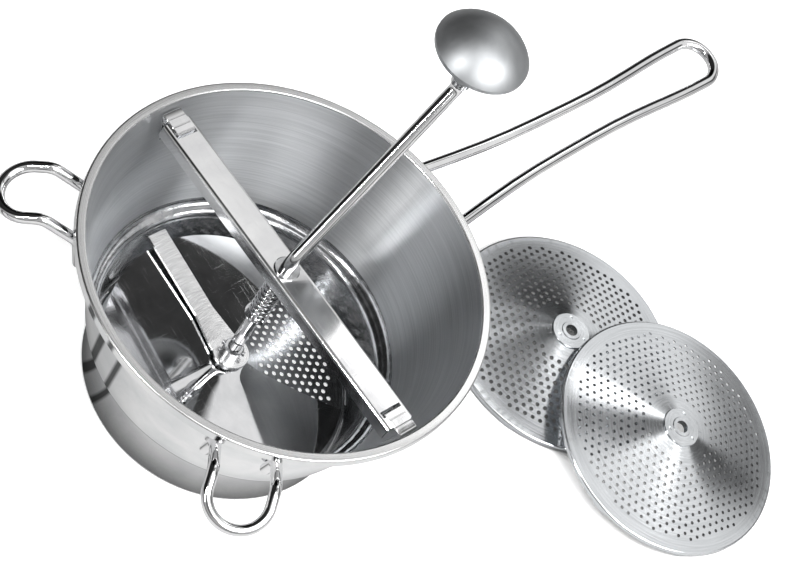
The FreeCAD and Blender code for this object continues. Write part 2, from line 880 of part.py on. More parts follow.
def blade_height(radius, turn):
    """Height of the blade's lower face. turn is the angle back from the low edge, in degrees."""
    level = blade_foot.value
    fold = S.blade_fold.value
    if turn > fold:
        angle = math.radians(S.blade_low_edge.value - turn)
        beyond = radius * -math.cos(angle) - radius * -math.cos(fold_angle())
        return level + max(beyond, 0) * math.tan(math.radians(S.blade_tilt.value))
    core = S.flange_radius.value
    low = sieve_surface(radius) + S.blade_clearance.value
    swell = level - sieve_surface(core) - S.blade_clearance.value
    low += swell * math.exp(-((max(radius - core, 0) / S.blade_swell.value) ** 2))
    share = turn / fold
    return low + (level - low) * share * share * (3 - 2 * share)


def fold_angle():
    return math.radians(S.blade_low_edge.value - S.blade_fold.value)


def blade_sheet(first, last, steps):
    """Part of the blade between two turns back from its low edge, as sheet of even gauge."""
    core = S.flange_radius.value
    span = blade_radius.value - core
    rows = int(S.blade_rows.value)
    bias = S.blade_row_bias.value
    radii = [S.wire_radius.value] + [core + span * (k / rows) ** bias for k in range(rows + 1)]
    grid = []
    for k in range(steps + 1):
        turn = first + (last - first) * k / steps
        angle = math.radians(S.blade_low_edge.value - turn)
        row = []
        for radius in radii:
            height = blade_height(max(radius, core), turn)
            row.append(Vector(radius * math.cos(angle), radius * math.sin(angle), height))
        grid.append(row)
    surface = Part.BSplineSurface()
    surface.interpolate(grid)
    sheet_solid = surface.toShape().extrude(Vector(0, 0, S.blade_gauge.value))
    return sheet_solid


def make_blade():
    """Spiral blade: a low half that presses on the sieve, a fold, and a half that tilts up."""
    fold = S.blade_fold.value
    low = blade_sheet(0, fold, int(S.blade_low_steps.value))
    high = blade_sheet(fold, S.blade_sweep.value, int(S.blade_high_steps.value))
    foot = blade_foot.value
    centre = Part.makeCylinder(
        (S.flange_radius + S.blade_core_lap).value, S.blade_gauge.value,
        Vector(0, 0, foot + S.blade_core_inset.value))
    shape = low.fuse([high, centre])
    bore = Part.makeCylinder(
        S.boss_radius.value + S.fixed_gap.value, foot, Vector(0, 0, foot / 2))
    shape = shape.cut(bore)
    if len(shape.Solids) != 1:
        raise RuntimeError("the blade is in %d pieces" % len(shape.Solids))
    return coded("blade", shape.Solids[0])


def make_arm():
    """Strip arm: a round eye on the hub and a flat strip that rises towards the wall."""
    gauge = S.arm_gauge.value
    eye = S.eye_radius.value
    reach = arm_reach.value
    foot = arm_foot.value
    slope = math.tan(math.radians(S.arm_tilt.value))
    rise = (reach - eye) * slope
    beyond = eye + gauge
    side = Part.makePolygon([
        Vector(beyond, 0, foot),
        Vector(beyond, 0, foot + gauge),
        Vector(-eye, 0, foot + gauge),
        Vector(-reach, 0, foot + gauge + rise),
        Vector(-reach, 0, foot + rise),
        Vector(-eye, 0, foot),
        Vector(beyond, 0, foot),
    ])
    slab = Part.Face(side).extrude(Vector(0, 2 * beyond, 0))
    slab.translate(Vector(0, -beyond, 0))
    root = S.arm_root_width.value / 2
    half = S.arm_width.value / 2
    shoulder = root - S.arm_shoulder.value
    taper_end = S.arm_taper_end.value
    plan = Part.makePolygon([
        Vector(0, root, 0),
        Vector(-eye, shoulder, 0),
        Vector(-taper_end, half, 0),
        Vector(-reach, half, 0),
        Vector(-reach, -half, 0),
        Vector(-taper_end, -half, 0),
        Vector(-eye, -shoulder, 0),
        Vector(0, -root, 0),
        Vector(0, root, 0),
    ])
    tall = foot + rise + gauge * 2
    outline = Part.Face(plan).extrude(Vector(0, 0, tall))
    outline = outline.fuse(Part.makeCylinder(eye, tall))
    bore = Part.makeCylinder(S.neck_boss_radius.value + S.fixed_gap.value, tall)
    shape = slab.common(outline).cut(bore).removeSplitter()
    return coded("blade_arm", shape.Solids[0])


def make_blade_hub():
    """Stepped boss on the shaft: a flange under the blade, a boss in it and a neck for the arm."""
    body = turned("blade_hub", [
        (S.wire_radius + S.fixed_gap, flange_foot),
        (S.flange_radius, flange_foot),
        (S.flange_radius, blade_foot),
        (S.boss_radius, blade_foot),
        (S.boss_radius, arm_foot),
        (S.neck_boss_radius, arm_foot),
        (S.neck_boss_radius, hub_crown - S.hub_chamfer),
        (S.neck_boss_radius - S.hub_chamfer, hub_crown),
        (S.wire_radius + S.fixed_gap, hub_crown),
    ])
    drill = primitive("Part::Cylinder", "hub_pin_drill",
                      Radius=S.hub_pin_radius + S.fixed_gap, Height=S.hub_pin_length)
    turn = Rotation(Vector(0, 0, 1), S.hub_pin_angle.value) * Rotation(Vector(0, 1, 0), 90)
    start = turn.multVec(Vector(0, 0, -S.hub_pin_length.value / 2))
    drill.Placement = Placement(start + Vector(0, 0, hub_pin_height.value), turn)
    body.Label = "blade_hub_turned"
    drilled = doc.addObject("Part::Cut", "blade_hub_drilled")
    drilled.Label = "blade_hub"
    drilled.Base = body
    drilled.Tool = drill
    return drilled


# ---------------------------------------------------------------- the whole set

stop_pin_height = seat_foot - S.stop_pin_radius - S.fixed_gap

keep(make_bowl())
keep(make_long_handle())
keep(make_hook("hook_left", S.hook_left_angle.value))
keep(make_hook("hook_right", S.hook_right_angle.value))
keep(make_catch("catch_right", 0))
keep(make_catch("catch_left", 180))
make_sieve("sieve_disc", Placement(Vector(0, 0, disc_seat.value), Rotation()))

keep(make_bridge())
keep(make_bridge_bush())
keep(tube("bridge_washer", S.bush_radius + S.fixed_gap, S.washer_radius, spring_top,
          S.washer_gauge))
keep(make_spring())
keep(tube("spring_seat", shaft_bore, S.seat_radius, seat_foot, S.seat_gauge))

keep(make_crank())
keep(cross_pin("spring_stop_pin", S.stop_pin_radius, S.stop_pin_length, stop_pin_height,
               S.crank_angle))
keep(make_blade_hub())
keep(make_blade())
keep(make_arm())
keep(cross_pin("hub_pin", S.hub_pin_radius, S.hub_pin_length, hub_pin_height,
               S.hub_pin_angle))

keep(at_knob(tube("knob_bush", shaft_bore, shaft_bore + S.knob_bush_wall, knob_bush_foot,
                  S.knob_bush_length)))
keep(at_knob(make_knob_base()))
keep(at_knob(make_knob_top()))
retainer_foot = knob_bush_foot + S.knob_bush_length + S.thrust_gap
keep(at_knob(tube("knob_retainer", S.wire_radius + S.fixed_gap, S.retainer_radius,
                  retainer_foot, S.retainer_gauge)))

# The coarse spare disc lies flat. The fine one leans on the coarse one's hub plate.
coarse = Placement(Vector(S.spare_x.value, S.spare_y.value, 0),
                   Rotation(Vector(0, 0, 1), S.spare_turn.value))
make_sieve("spare_coarse_disc", coarse)
bearing = math.radians(S.spare_bearing.value)
towards = Vector(math.cos(bearing), math.sin(bearing), 0)
rest_height = (disc_crown + S.hub_plate + S.spare_gap).value
disc_span = 2 * disc_radius.value
lean = math.degrees(math.asin(rest_height / disc_span))
tilt = Rotation(Vector(-towards.y, towards.x, 0), lean)
outer_reach = S.spare_rest.value + disc_span * math.cos(math.radians(lean))
outer_foot = coarse.Base + towards * outer_reach
centre = outer_foot + tilt.multVec(towards * -disc_radius.value)
fine = Placement(centre, tilt * Rotation(Vector(0, 0, 1), S.spare_bearing.value))
make_sieve("spare_fine_disc", fine)

doc.recompute()
for item in doc.Objects:
    if "Invalid" in item.State or "Error" in item.State:
        raise RuntimeError(item.Label + " failed: " + str(item.State))
os.makedirs("parts", exist_ok=True)
for item in made:
    shape = item.Shape
    if shape.isNull() or not shape.isValid() or not shape.Solids:
        raise RuntimeError(item.Label + " has no valid solid")
for item in made:
    item.Shape.exportStep("parts/%s.step" % item.Label)
    box = item.Shape.BoundBox
    print("%-24s solids %d volume %9.1f z %6.1f to %6.1f" % (
        item.Label, len(item.Shape.Solids), item.Shape.Volume, box.ZMin, box.ZMax))
print("parts", len(made))
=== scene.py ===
import math
import bpy
import bmesh
from mathutils import Matrix, Quaternion, Vector


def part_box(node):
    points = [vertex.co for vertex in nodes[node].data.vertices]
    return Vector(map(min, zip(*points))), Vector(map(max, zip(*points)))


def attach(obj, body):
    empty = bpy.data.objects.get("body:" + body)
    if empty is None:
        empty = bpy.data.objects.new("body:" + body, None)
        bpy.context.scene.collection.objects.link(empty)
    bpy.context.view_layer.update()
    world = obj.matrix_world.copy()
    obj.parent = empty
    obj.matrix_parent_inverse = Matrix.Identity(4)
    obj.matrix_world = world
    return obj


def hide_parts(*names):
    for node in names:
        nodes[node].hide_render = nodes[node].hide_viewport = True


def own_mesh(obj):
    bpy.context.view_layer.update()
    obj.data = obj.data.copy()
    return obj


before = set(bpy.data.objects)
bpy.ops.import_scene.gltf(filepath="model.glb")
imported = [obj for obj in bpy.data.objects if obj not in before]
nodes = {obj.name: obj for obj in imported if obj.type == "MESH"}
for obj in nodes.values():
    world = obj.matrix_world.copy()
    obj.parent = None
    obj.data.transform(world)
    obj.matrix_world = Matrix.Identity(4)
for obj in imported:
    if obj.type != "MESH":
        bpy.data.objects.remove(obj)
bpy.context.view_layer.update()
mm = 0.001


# camera: a long lens from above, rolled to the left

lens = {"azimuth": 289.98, "elevation": 50.74, "roll": 37.31, "distance": 1197.9,
        "targetHeight": 127.0, "pixels": 2200.0, "targetX": 290.7, "targetY": 263.4,
        "width": 800, "height": 565, "sensor": 36.0, "clipStart": 0.05, "clipEnd": 20}


def newObject(name, data):
    made = bpy.data.objects.new(name, data)
    bpy.context.scene.collection.objects.link(made)
    return made


def direction(azimuth, elevation):
    az, el = math.radians(azimuth), math.radians(elevation)
    return Vector((math.cos(el) * math.cos(az), math.cos(el) * math.sin(az), math.sin(el)))


def cameraAxes():
    az, roll = math.radians(lens["azimuth"]), math.radians(lens["roll"])
    back = direction(lens["azimuth"], lens["elevation"])
    levelRight = Vector((-math.sin(az), math.cos(az), 0))
    levelUp = back.cross(levelRight)
    right = levelRight * math.cos(roll) + levelUp * math.sin(roll)
    up = levelUp * math.cos(roll) - levelRight * math.sin(roll)
    return right, up, back


def addCamera():
    right, up, back = cameraAxes()
    scale = lens["distance"] / lens["pixels"]
    place = Vector((0, 0, lens["targetHeight"])) + back * lens["distance"]
    place -= right * (lens["targetX"] - lens["width"] / 2) * scale
    place += up * (lens["targetY"] - lens["height"] / 2) * scale
    data = bpy.data.cameras.new("camera")
    data.sensor_width = lens["sensor"]
    data.lens = lens["pixels"] * lens["sensor"] / lens["width"]
    data.clip_start = lens["clipStart"]
    data.clip_end = lens["clipEnd"]
    camera = newObject("camera", data)
    turn = Matrix((right, up, back)).transposed().to_4x4()
    camera.matrix_world = Matrix.Translation(place * mm) @ turn
    bpy.context.scene.camera = camera


addCamera()
print("camera set")


# node groups that carry the steel's detail

def newGroup(name, inputs, outputs):
    tree = bpy.data.node_groups.new(name, "ShaderNodeTree")
    for label, kind, value in inputs:
        item = tree.interface.new_socket(label, in_out="INPUT", socket_type=kind)
        item.default_value = value
    for label, kind in outputs:
        tree.interface.new_socket(label, in_out="OUTPUT", socket_type=kind)
    return tree, tree.nodes.new("NodeGroupInput"), tree.nodes.new("NodeGroupOutput")


def feed(tree, socket, value):
    # a link from another node's output, or a constant
    if isinstance(value, bpy.types.NodeSocket):
        tree.links.new(value, socket)
    elif value is not None:
        socket.default_value = value


def feedAll(tree, node, values):
    for label, value in values.items():
        feed(tree, node.inputs[label], value)


def mathNode(tree, operation, first, second=None, clamp=False):
    node = tree.nodes.new("ShaderNodeMath")
    node.operation = operation
    node.use_clamp = clamp
    for socket, value in zip(node.inputs, (first, second)):
        feed(tree, socket, value)
    return node.outputs[0]


def vectorNode(tree, operation, first, second=None, scale=None):
    node = tree.nodes.new("ShaderNodeVectorMath")
    node.operation = operation
    for socket, value in zip(node.inputs, (first, second)):
        feed(tree, socket, value)
    if scale is not None:
        feed(tree, node.inputs["Scale"], scale)
    return node.outputs["Value" if operation in ("LENGTH", "DOT_PRODUCT") else "Vector"]


def noiseNode(tree, vector, scale, detail=2.0, roughness=0.5, distortion=0.0):
    node = tree.nodes.new("ShaderNodeTexNoise")
    feedAll(tree, node, {"Vector": vector, "Scale": scale, "Detail": detail,
                         "Roughness": roughness, "Distortion": distortion})
    return node.outputs[0]


def spread(tree, value, low, high, newLow, newHigh):
    node = tree.nodes.new("ShaderNodeMapRange")
    feedAll(tree, node, {"Value": value, "From Min": low, "From Max": high, "To Min": newLow,
                         "To Max": newHigh})
    return node.outputs["Result"]


grainLook = {"slant": 1.37, "grainRound": 3.0, "bandRound": 1.1, "bandFineness": 620.0,
             "cloudFineness": 14.0}


def turnedGroup():
    # brushing that runs round an axis: the grain, slower bands and clouds
    tree, given, result = newGroup(
        "turnedGrain",
        [("Centre", "NodeSocketVector", (0, 0, 0)), ("Axis", "NodeSocketVector", (0, 0, 1)),
         ("Fineness", "NodeSocketFloat", 2600.0)],
        [("Grain", "NodeSocketFloat"), ("Bands", "NodeSocketFloat"), ("Clouds", "NodeSocketFloat")])
    coords = tree.nodes.new("ShaderNodeTexCoord")
    offset = vectorNode(tree, "SUBTRACT", coords.outputs["Object"], given.outputs["Centre"])
    height = vectorNode(tree, "DOT_PRODUCT", offset, given.outputs["Axis"])
    rise = vectorNode(tree, "SCALE", given.outputs["Axis"], scale=height)
    outward = vectorNode(tree, "SUBTRACT", offset, rise)
    reach = vectorNode(tree, "LENGTH", outward)
    unit = vectorNode(tree, "NORMALIZE", outward)
    depth = mathNode(tree, "ADD", height, mathNode(tree, "MULTIPLY", reach, grainLook["slant"]))
    fine = mathNode(tree, "MULTIPLY", depth, given.outputs["Fineness"])
    lane = tree.nodes.new("ShaderNodeCombineXYZ")
    tree.links.new(fine, lane.inputs[2])
    around = vectorNode(tree, "SCALE", unit, scale=grainLook["grainRound"])
    spun = vectorNode(tree, "ADD", around, lane.outputs[0])
    grain = noiseNode(tree, spun, 1.0, 3.0, 0.6)
    slow = tree.nodes.new("ShaderNodeCombineXYZ")
    tree.links.new(mathNode(tree, "MULTIPLY", depth, grainLook["bandFineness"]), slow.inputs[2])
    aroundSlow = vectorNode(tree, "SCALE", unit, scale=grainLook["bandRound"])
    spunSlow = vectorNode(tree, "ADD", aroundSlow, slow.outputs[0])
    bands = noiseNode(tree, spunSlow, 1.0, 2.0, 0.5)
    clouds = noiseNode(tree, offset, grainLook["cloudFineness"], 3.0, 0.55)
    for value, label in ((grain, "Grain"), (bands, "Bands"), (clouds, "Clouds")):
        tree.links.new(value, result.inputs[label])
    return tree


wearLook = {"scratches": ((0.5, (900, 40, 260)), (2.1, (60, 1100, 300))),
            "scratchRange": (0.62, 0.74), "pits": 1900.0, "smears": 26.0, "waves": 55.0}


def wearGroup():
    # hairline scratches, fine pitting and slow smears for polished pieces
    tree, given, result = newGroup(
        "wear", [("Size", "NodeSocketFloat", 1.0)],
        [("Scratches", "NodeSocketFloat"), ("Pits", "NodeSocketFloat"),
         ("Smears", "NodeSocketFloat"), ("Waves", "NodeSocketFloat")])
    coords = tree.nodes.new("ShaderNodeTexCoord")
    place = vectorNode(tree, "SCALE", coords.outputs["Object"], scale=given.outputs["Size"])
    lines = None
    for turn, stretch in wearLook["scratches"]:
        mapping = tree.nodes.new("ShaderNodeMapping")
        feedAll(tree, mapping, {"Vector": place, "Rotation": (turn * 0.7, turn * 0.4, turn),
                                "Scale": stretch})
        noise = noiseNode(tree, mapping.outputs[0], 1.0, 1.0)
        streak = spread(tree, noise, *wearLook["scratchRange"], 0.0, 1.0)
        lines = streak if lines is None else mathNode(tree, "MAXIMUM", lines, streak)
    pits = noiseNode(tree, place, wearLook["pits"], 2.0, 0.6)
    smears = noiseNode(tree, place, wearLook["smears"], 4.0, 0.6, 0.4)
    waves = noiseNode(tree, place, wearLook["waves"], 1.0, 0.4)
    for value, label in ((lines, "Scratches"), (pits, "Pits"), (smears, "Smears"),
                         (waves, "Waves")):
        tree.links.new(value, result.inputs[label])
    return tree


groups = {"turned": turnedGroup(), "wear": wearGroup()}


def newSteel(name, tint, anisotropy=0.0):
    material = bpy.data.materials.new(name)
    material.use_nodes = True
    tree = material.node_tree
    shader = tree.nodes["Principled BSDF"]
    feedAll(tree, shader, {"Metallic": 1.0, "Base Color": (*tint, 1), "Anisotropic": anisotropy})
    return material, tree, shader


def groupNode(tree, name, **values):
    node = tree.nodes.new("ShaderNodeGroup")
    node.node_tree = groups[name]
    feedAll(tree, node, values)
    return node.outputs


def tinted(tree, shader, value, dark, light):
    ramp = tree.nodes.new("ShaderNodeMix")
    ramp.data_type = "RGBA"
    ramp.inputs["A"].default_value = (*dark, 1)
    ramp.inputs["B"].default_value = (*light, 1)
    tree.links.new(value, ramp.inputs["Factor"])
    tree.links.new([s for s in ramp.outputs if s.type == "RGBA"][0], shader.inputs["Base Color"])


def bumped(tree, shader, height, strength, distance):
    bump = tree.nodes.new("ShaderNodeBump")
    feedAll(tree, bump, {"Strength": strength, "Distance": distance, "Height": height})
    tree.links.new(bump.outputs[0], shader.inputs["Normal"])


finish = {"grainShare": 0.6, "tintRange": (0.36, 0.62), "roughRange": (0.3, 0.7),
          "hazeRange": (0.35, 0.7), "haze": (-0.02, 0.03), "tangentTurn": 0.25, "turnedBump": 0.35,
          "smearTint": (0.35, 0.65), "smearRough": (0.35, 0.7), "scratchRough": 0.05,
          "scratchDepth": -0.02, "polishedBump": 0.4}


def turnedSteel(name, dark, light, roughness, anisotropy, centre=(0, 0, 0), axis=(0, 0, 1),
                fineness=2600.0, depth=0.00002):
    material, tree, shader = newSteel(name, light, anisotropy)
    marks = groupNode(tree, "turned", Centre=centre, Axis=axis, Fineness=fineness)
    share = finish["grainShare"]
    blend = mathNode(tree, "ADD", mathNode(tree, "MULTIPLY", marks["Grain"], share),
                     mathNode(tree, "MULTIPLY", marks["Bands"], 1 - share))
    tinted(tree, shader, spread(tree, blend, *finish["tintRange"], 0.0, 1.0), dark, light)
    rough = spread(tree, marks["Grain"], *finish["roughRange"], *roughness)
    haze = spread(tree, marks["Clouds"], *finish["hazeRange"], *finish["haze"])
    tree.links.new(mathNode(tree, "ADD", rough, haze, clamp=True), shader.inputs["Roughness"])
    coords = tree.nodes.new("ShaderNodeTexCoord")
    offset = vectorNode(tree, "SUBTRACT", coords.outputs["Object"], centre)
    tree.links.new(vectorNode(tree, "CROSS_PRODUCT", axis, offset), shader.inputs["Tangent"])
    shader.inputs["Anisotropic Rotation"].default_value = finish["tangentTurn"]
    bumped(tree, shader, marks["Grain"], finish["turnedBump"], depth)
    return material


def polishedSteel(name, dark, light, roughness, wave=0.00004, size=1.0):
    material, tree, shader = newSteel(name, light)
    marks = groupNode(tree, "wear", Size=size)
    tinted(tree, shader, spread(tree, marks["Smears"], *finish["smearTint"], 0.0, 1.0), dark, light)
    rough = spread(tree, marks["Smears"], *finish["smearRough"], *roughness)
    scratch = mathNode(tree, "MULTIPLY", marks["Scratches"], finish["scratchRough"])
    tree.links.new(mathNode(tree, "ADD", rough, scratch, clamp=True), shader.inputs["Roughness"])
    cuts = mathNode(tree, "MULTIPLY", marks["Scratches"], finish["scratchDepth"])
    bumped(tree, shader, mathNode(tree, "ADD", marks["Waves"], cuts), finish["polishedBump"], wave)
    return material


steels = {
    "wall": turnedSteel("bowlInside", (0.43, 0.44, 0.45), (0.58, 0.59, 0.60), (0.33, 0.40), 0.95,
                        fineness=3800.0, depth=0.000008),
    "rim": turnedSteel("bowlRim", (0.64, 0.64, 0.64), (0.80, 0.80, 0.80), (0.22, 0.30), 0.3,
                       fineness=3600.0),
    "outside": polishedSteel("bowlOutside", (0.70, 0.71, 0.72), (0.86, 0.86, 0.86), (0.02, 0.05)),
    # the inner shoulder and lower neck are painted darker than the wall above: painted shade down
    # in the bowl
    "neck": polishedSteel("bowlNeckShaded", (0.32, 0.33, 0.34), (0.50, 0.50, 0.51), (0.14, 0.20),
                          wave=0.0005, size=3.4),
    "wire": polishedSteel("wireSteel", (0.72, 0.72, 0.73), (0.88, 0.88, 0.88), (0.03, 0.08)),
    "bridge": polishedSteel("bridgeSteel", (0.76, 0.76, 0.77), (0.92, 0.92, 0.92), (0.08, 0.14)),
    "blade": polishedSteel("bladeSteel", (0.66, 0.67, 0.68), (0.84, 0.84, 0.85), (0.03, 0.06),
                           wave=0.00002),
    "knob": polishedSteel("knobSteel", (0.34, 0.35, 0.36), (0.44, 0.45, 0.46), (0.44, 0.50)),
    "arm": turnedSteel("armSteel", (0.72, 0.72, 0.73), (0.94, 0.94, 0.94), (0.20, 0.30), 0.3,
                       fineness=1500.0, depth=0.00004),
    "small": polishedSteel("fittingSteel", (0.46, 0.47, 0.48), (0.78, 0.78, 0.79), (0.10, 0.22),
                           size=2.5),
    "spring": polishedSteel("springSteel", (0.46, 0.47, 0.48), (0.78, 0.78, 0.79), (0.06, 0.14),
                            size=3.0),
}
print("materials made")


# mesh helpers, in millimetres

def arcPoints(start, end, radius, step=6.0):
    chord = end - start
    half = chord.length / 2
    side = 1 if radius > 0 else -1
    normal = Vector((-chord.y, chord.x)).normalized() * side
    centre = (start + end) / 2 + normal * math.sqrt(max(radius * radius - half * half, 0))
    first = math.atan2(start.y - centre.y, start.x - centre.x)
    sweep = 2 * math.asin(min(half / abs(radius), 1)) * side
    count = max(int(math.degrees(abs(sweep)) / step), 3)
    return [centre + Vector((math.cos(first + sweep * k / count),
                             math.sin(first + sweep * k / count))) * abs(radius)
            for k in range(1, count)]


def traced(corners, step=6.0):
    # corners are (radius, height), with a third number where an arc leads to the next corner
    points = []
    spans = []
    for i, corner in enumerate(corners):
        start = Vector(corner[:2])
        end = Vector(corners[(i + 1) % len(corners)][:2])
        points.append(start)
        spans.append(i)
        if len(corner) == 3:
            extra = arcPoints(start, end, corner[2], step)
            points += extra
            spans += [i] * len(extra)
    return points, spans


def joinRings(mesh, ring, after, count):
    # a band of faces between two rings; either may be a single point
    faces = []
    for k in range(count):
        n = (k + 1) % count
        corner = [ring[k % len(ring)], ring[n % len(ring)],
                  after[n % len(after)], after[k % len(after)]]
        faces.append(mesh.faces.new(list(dict.fromkeys(corner))))
    return faces


def lathe(corners, turns=160, kinds=None, step=6.0):
    points, spans = traced(corners, step)
    mesh = bmesh.new()
    rings = []
    for p in points:
        if p.x < 1e-6:
            rings.append([mesh.verts.new((0, 0, p.y * mm))])
            continue
        rings.append([mesh.verts.new((p.x * mm * math.cos(2 * math.pi * k / turns),
                                      p.x * mm * math.sin(2 * math.pi * k / turns), p.y * mm))
                      for k in range(turns)])
    for i, ring in enumerate(rings):
        after = rings[(i + 1) % len(rings)]
        if len(ring) == 1 and len(after) == 1:
            continue
        for face in joinRings(mesh, ring, after, turns):
            if kinds:
                face.material_index = kinds.get(spans[i], 0)
    bmesh.ops.recalc_face_normals(mesh, faces=mesh.faces)
    return mesh


def wirePath(points, bends, step=5.0, straight=2.0):
    # straight runs joined by tangent arcs; None asks for the widest arc that fits
    path = [points[0]]
    for i in range(1, len(points) - 1):
        back = points[i - 1] - points[i]
        ahead = points[i + 1] - points[i]
        shorter = min(back.length, ahead.length)
        back.normalize()
        ahead.normalize()
        half = (math.pi - back.angle(ahead)) / 2
        bend = bends[i - 1] or (shorter - straight) / 2 / math.tan(half)
        cut = bend * math.tan(half)
        bisector = (back + ahead).normalized()
        centre = points[i] + bisector * (bend / math.cos(half))
        first = points[i] + back * cut - centre
        last = points[i] + ahead * cut - centre
        count = max(int(math.degrees(2 * half) / step), 3)
        axis = first.cross(last).normalized()
        for k in range(count + 1):
            path.append(centre + Quaternion(axis, first.angle(last) * k / count) @ first)
    path.append(points[-1])
    return path


capAngles = (60, 35, 12)


def tube(path, radius, sides=28, dome=0.5):
    mesh = bmesh.new()
    rings = []
    count = len(path)
    tangents = []
    for i in range(count):
        ahead = (path[min(i + 1, count - 1)] - path[i]).normalized() if i < count - 1 else None
        back = (path[i] - path[i - 1]).normalized() if i else None
        tangents.append(((ahead or back) + (back or ahead)).normalized())
    side = tangents[0].orthogonal().normalized()

    def addRing(centre, across, up, size):
        return [mesh.verts.new((centre + (across * math.cos(2 * math.pi * k / sides)
                                          + up * math.sin(2 * math.pi * k / sides)) * size) * mm)
                for k in range(sides)]

    for i in range(count):
        side = (side - tangents[i] * side.dot(tangents[i])).normalized()
        up = tangents[i].cross(side)
        if i in (0, count - 1):
            inward = tangents[i] if i == 0 else -tangents[i]
            caps = []
            for a in map(math.radians, capAngles):
                place = path[i] + inward * (radius * dome) * (1 - math.sin(a))
                caps.append(addRing(place, side, up, radius * math.cos(a)))
            pole = mesh.verts.new(path[i] * mm)
            rings += ([[pole]] + caps) if i == 0 else (caps[::-1] + [[pole]])
        else:
            rings.append(addRing(path[i], side, up, radius))
    for ring, after in zip(rings, rings[1:]):
        joinRings(mesh, ring, after, sides)
    bmesh.ops.recalc_face_normals(mesh, faces=mesh.faces)
    return mesh


crease = 32.0


def addPiece(name, mesh, materials, body, replaced, place=None, sharp=crease):
    if place is not None:
        bmesh.ops.transform(mesh, matrix=place, verts=mesh.verts)
    data = bpy.data.meshes.new(name)
    mesh.to_mesh(data)
    mesh.free()
    data.shade_smooth()
    data.set_sharp_from_angle(angle=math.radians(sharp))
    return addMesh(name, data, materials, body, replaced)


def addMesh(name, data, materials, body, replaced):
    piece = newObject(name, data)
    for key in materials:
        data.materials.append(steels[key])
    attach(piece, body)
    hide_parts(*replaced)
    return piece


# bowl

bowl = {"rimRadius": 120.0, "rimHeight": 127.0, "rimBand": 5.5, "rimDrop": 6.5, "rimRound": 1.1,
        "rimTuck": 3.0, "gauge": 0.9, "coneFoot": 93.0, "coneFootHeight": 48.5, "neck": 84.8,
        "neckHeight": 39.0, "shoulderRound": 5.0, "base": 82.0, "baseRound": 2.0, "ledge": 74.0}


def bowlOutline():
    b = bowl
    g = b["gauge"]
    rim, top = b["rimRadius"], b["rimHeight"]
    wallTop, wallTopHeight = rim - b["rimBand"], top - b["rimRound"]
    foot = top - b["rimDrop"]
    tuck = rim - b["rimTuck"]
    middleX = (b["neck"] + b["coneFoot"]) / 2
    middleY = (b["neckHeight"] + b["coneFootHeight"]) / 2
    return [
        (b["ledge"], 0), (b["base"] - b["baseRound"], 0, b["baseRound"]),
        (b["base"], b["baseRound"]), (b["neck"], b["neckHeight"], -b["shoulderRound"]),
        (middleX, middleY, b["shoulderRound"]), (b["coneFoot"], b["coneFootHeight"]),
        (wallTop + g, top - g), (rim - g, top - g), (rim - g, foot + g), (tuck, foot + g),
        (tuck, foot), (rim - b["rimRound"], foot, b["rimRound"]), (rim, foot + b["rimRound"]),
        (rim, top - b["rimRound"], b["rimRound"]), (rim - b["rimRound"], top),
        (wallTop + b["rimRound"], top, b["rimRound"]), (wallTop, wallTopHeight),
        (b["coneFoot"] - g, b["coneFootHeight"], -b["shoulderRound"]),
        (middleX - g, middleY, b["shoulderRound"]), (b["neck"] - g, b["neckHeight"]),
        (b["base"] - g, b["baseRound"], -(b["baseRound"] - g)), (b["base"] - b["baseRound"], g),
        (b["ledge"], g),
    ]


# faces by span: rim, the inner shoulder and lower neck with their painted-shade darker steel,
# outside; the rest is the inside wall
bowlKinds = {span: 2 for span in (*range(0, 13), 20, 21, 22)}
bowlKinds.update({13: 1, 14: 1, 15: 1, 17: 3, 18: 3, 19: 3})
addPiece("bowl_shell", lathe(bowlOutline(), 288, bowlKinds, 4.0),
         ["wall", "rim", "outside", "neck"], "mill", ["bowl"])
print("bowl done")


def wallInside(height):
    top = bowl["rimHeight"] - bowl["rimRound"]
    wallTop = bowl["rimRadius"] - bowl["rimBand"]
    wallFoot = bowl["coneFoot"] - bowl["gauge"]
    slope = (wallTop - wallFoot) / (top - bowl["coneFootHeight"])
    return wallTop - (top - height) * slope, slope


# wire handles

longHandle = {"wire": 3.5, "reach": 360.0, "spread": 21.0, "neck": 13.6, "neckShare": 0.267,
              "waist": 11.6, "waistShare": 0.628, "loop": 15.2, "flareShare": 0.855, "leg": 26.0,
              "belowRim": 11.5, "lift": 16.0, "bend": 10.0, "loopFlat": 0.48}
potHook = {"wire": 3.25, "spread": 17.0, "loop": 17.2, "leg": 21.0, "belowRim": 14.0,
           "humpOut": 16.0, "humpUp": 10.0, "reach": 163.5, "tipUp": 0.0, "bend": 9.0,
           "loopFlat": 0.48, "gap": 0.12, "angles": {"hook_left": 225.2, "hook_right": 312.3}}


def legPoint(height, offset, wire):
    inside, slope = wallInside(height)
    reach = inside + bowl["gauge"] + (wire + potHook["gap"]) * math.sqrt(1 + slope * slope)
    return Vector((math.sqrt(reach * reach - offset * offset), offset, height))


def mirrored(half, bends):
    other = [Vector((p.x, -p.y, p.z)) for p in reversed(half)]
    return wirePath(half + other, bends + bends[::-1])


def longHandlePath():
    h = longHandle
    rootHeight = bowl["rimHeight"] - h["belowRim"]
    root = legPoint(rootHeight, h["spread"], h["wire"])
    foot = legPoint(rootHeight - h["leg"], h["spread"], h["wire"])
    span = h["reach"] - h["wire"] - root.x

    def along(share, offset):
        return Vector((root.x + span * share, offset, rootHeight + h["lift"] * share))

    half = [foot, root, along(h["neckShare"], h["neck"]), along(h["waistShare"], h["waist"]),
            along(h["flareShare"], h["loop"]), along(1, h["loop"])]
    return mirrored(half, [h["bend"], None, None, None, h["loop"] - h["loopFlat"]])


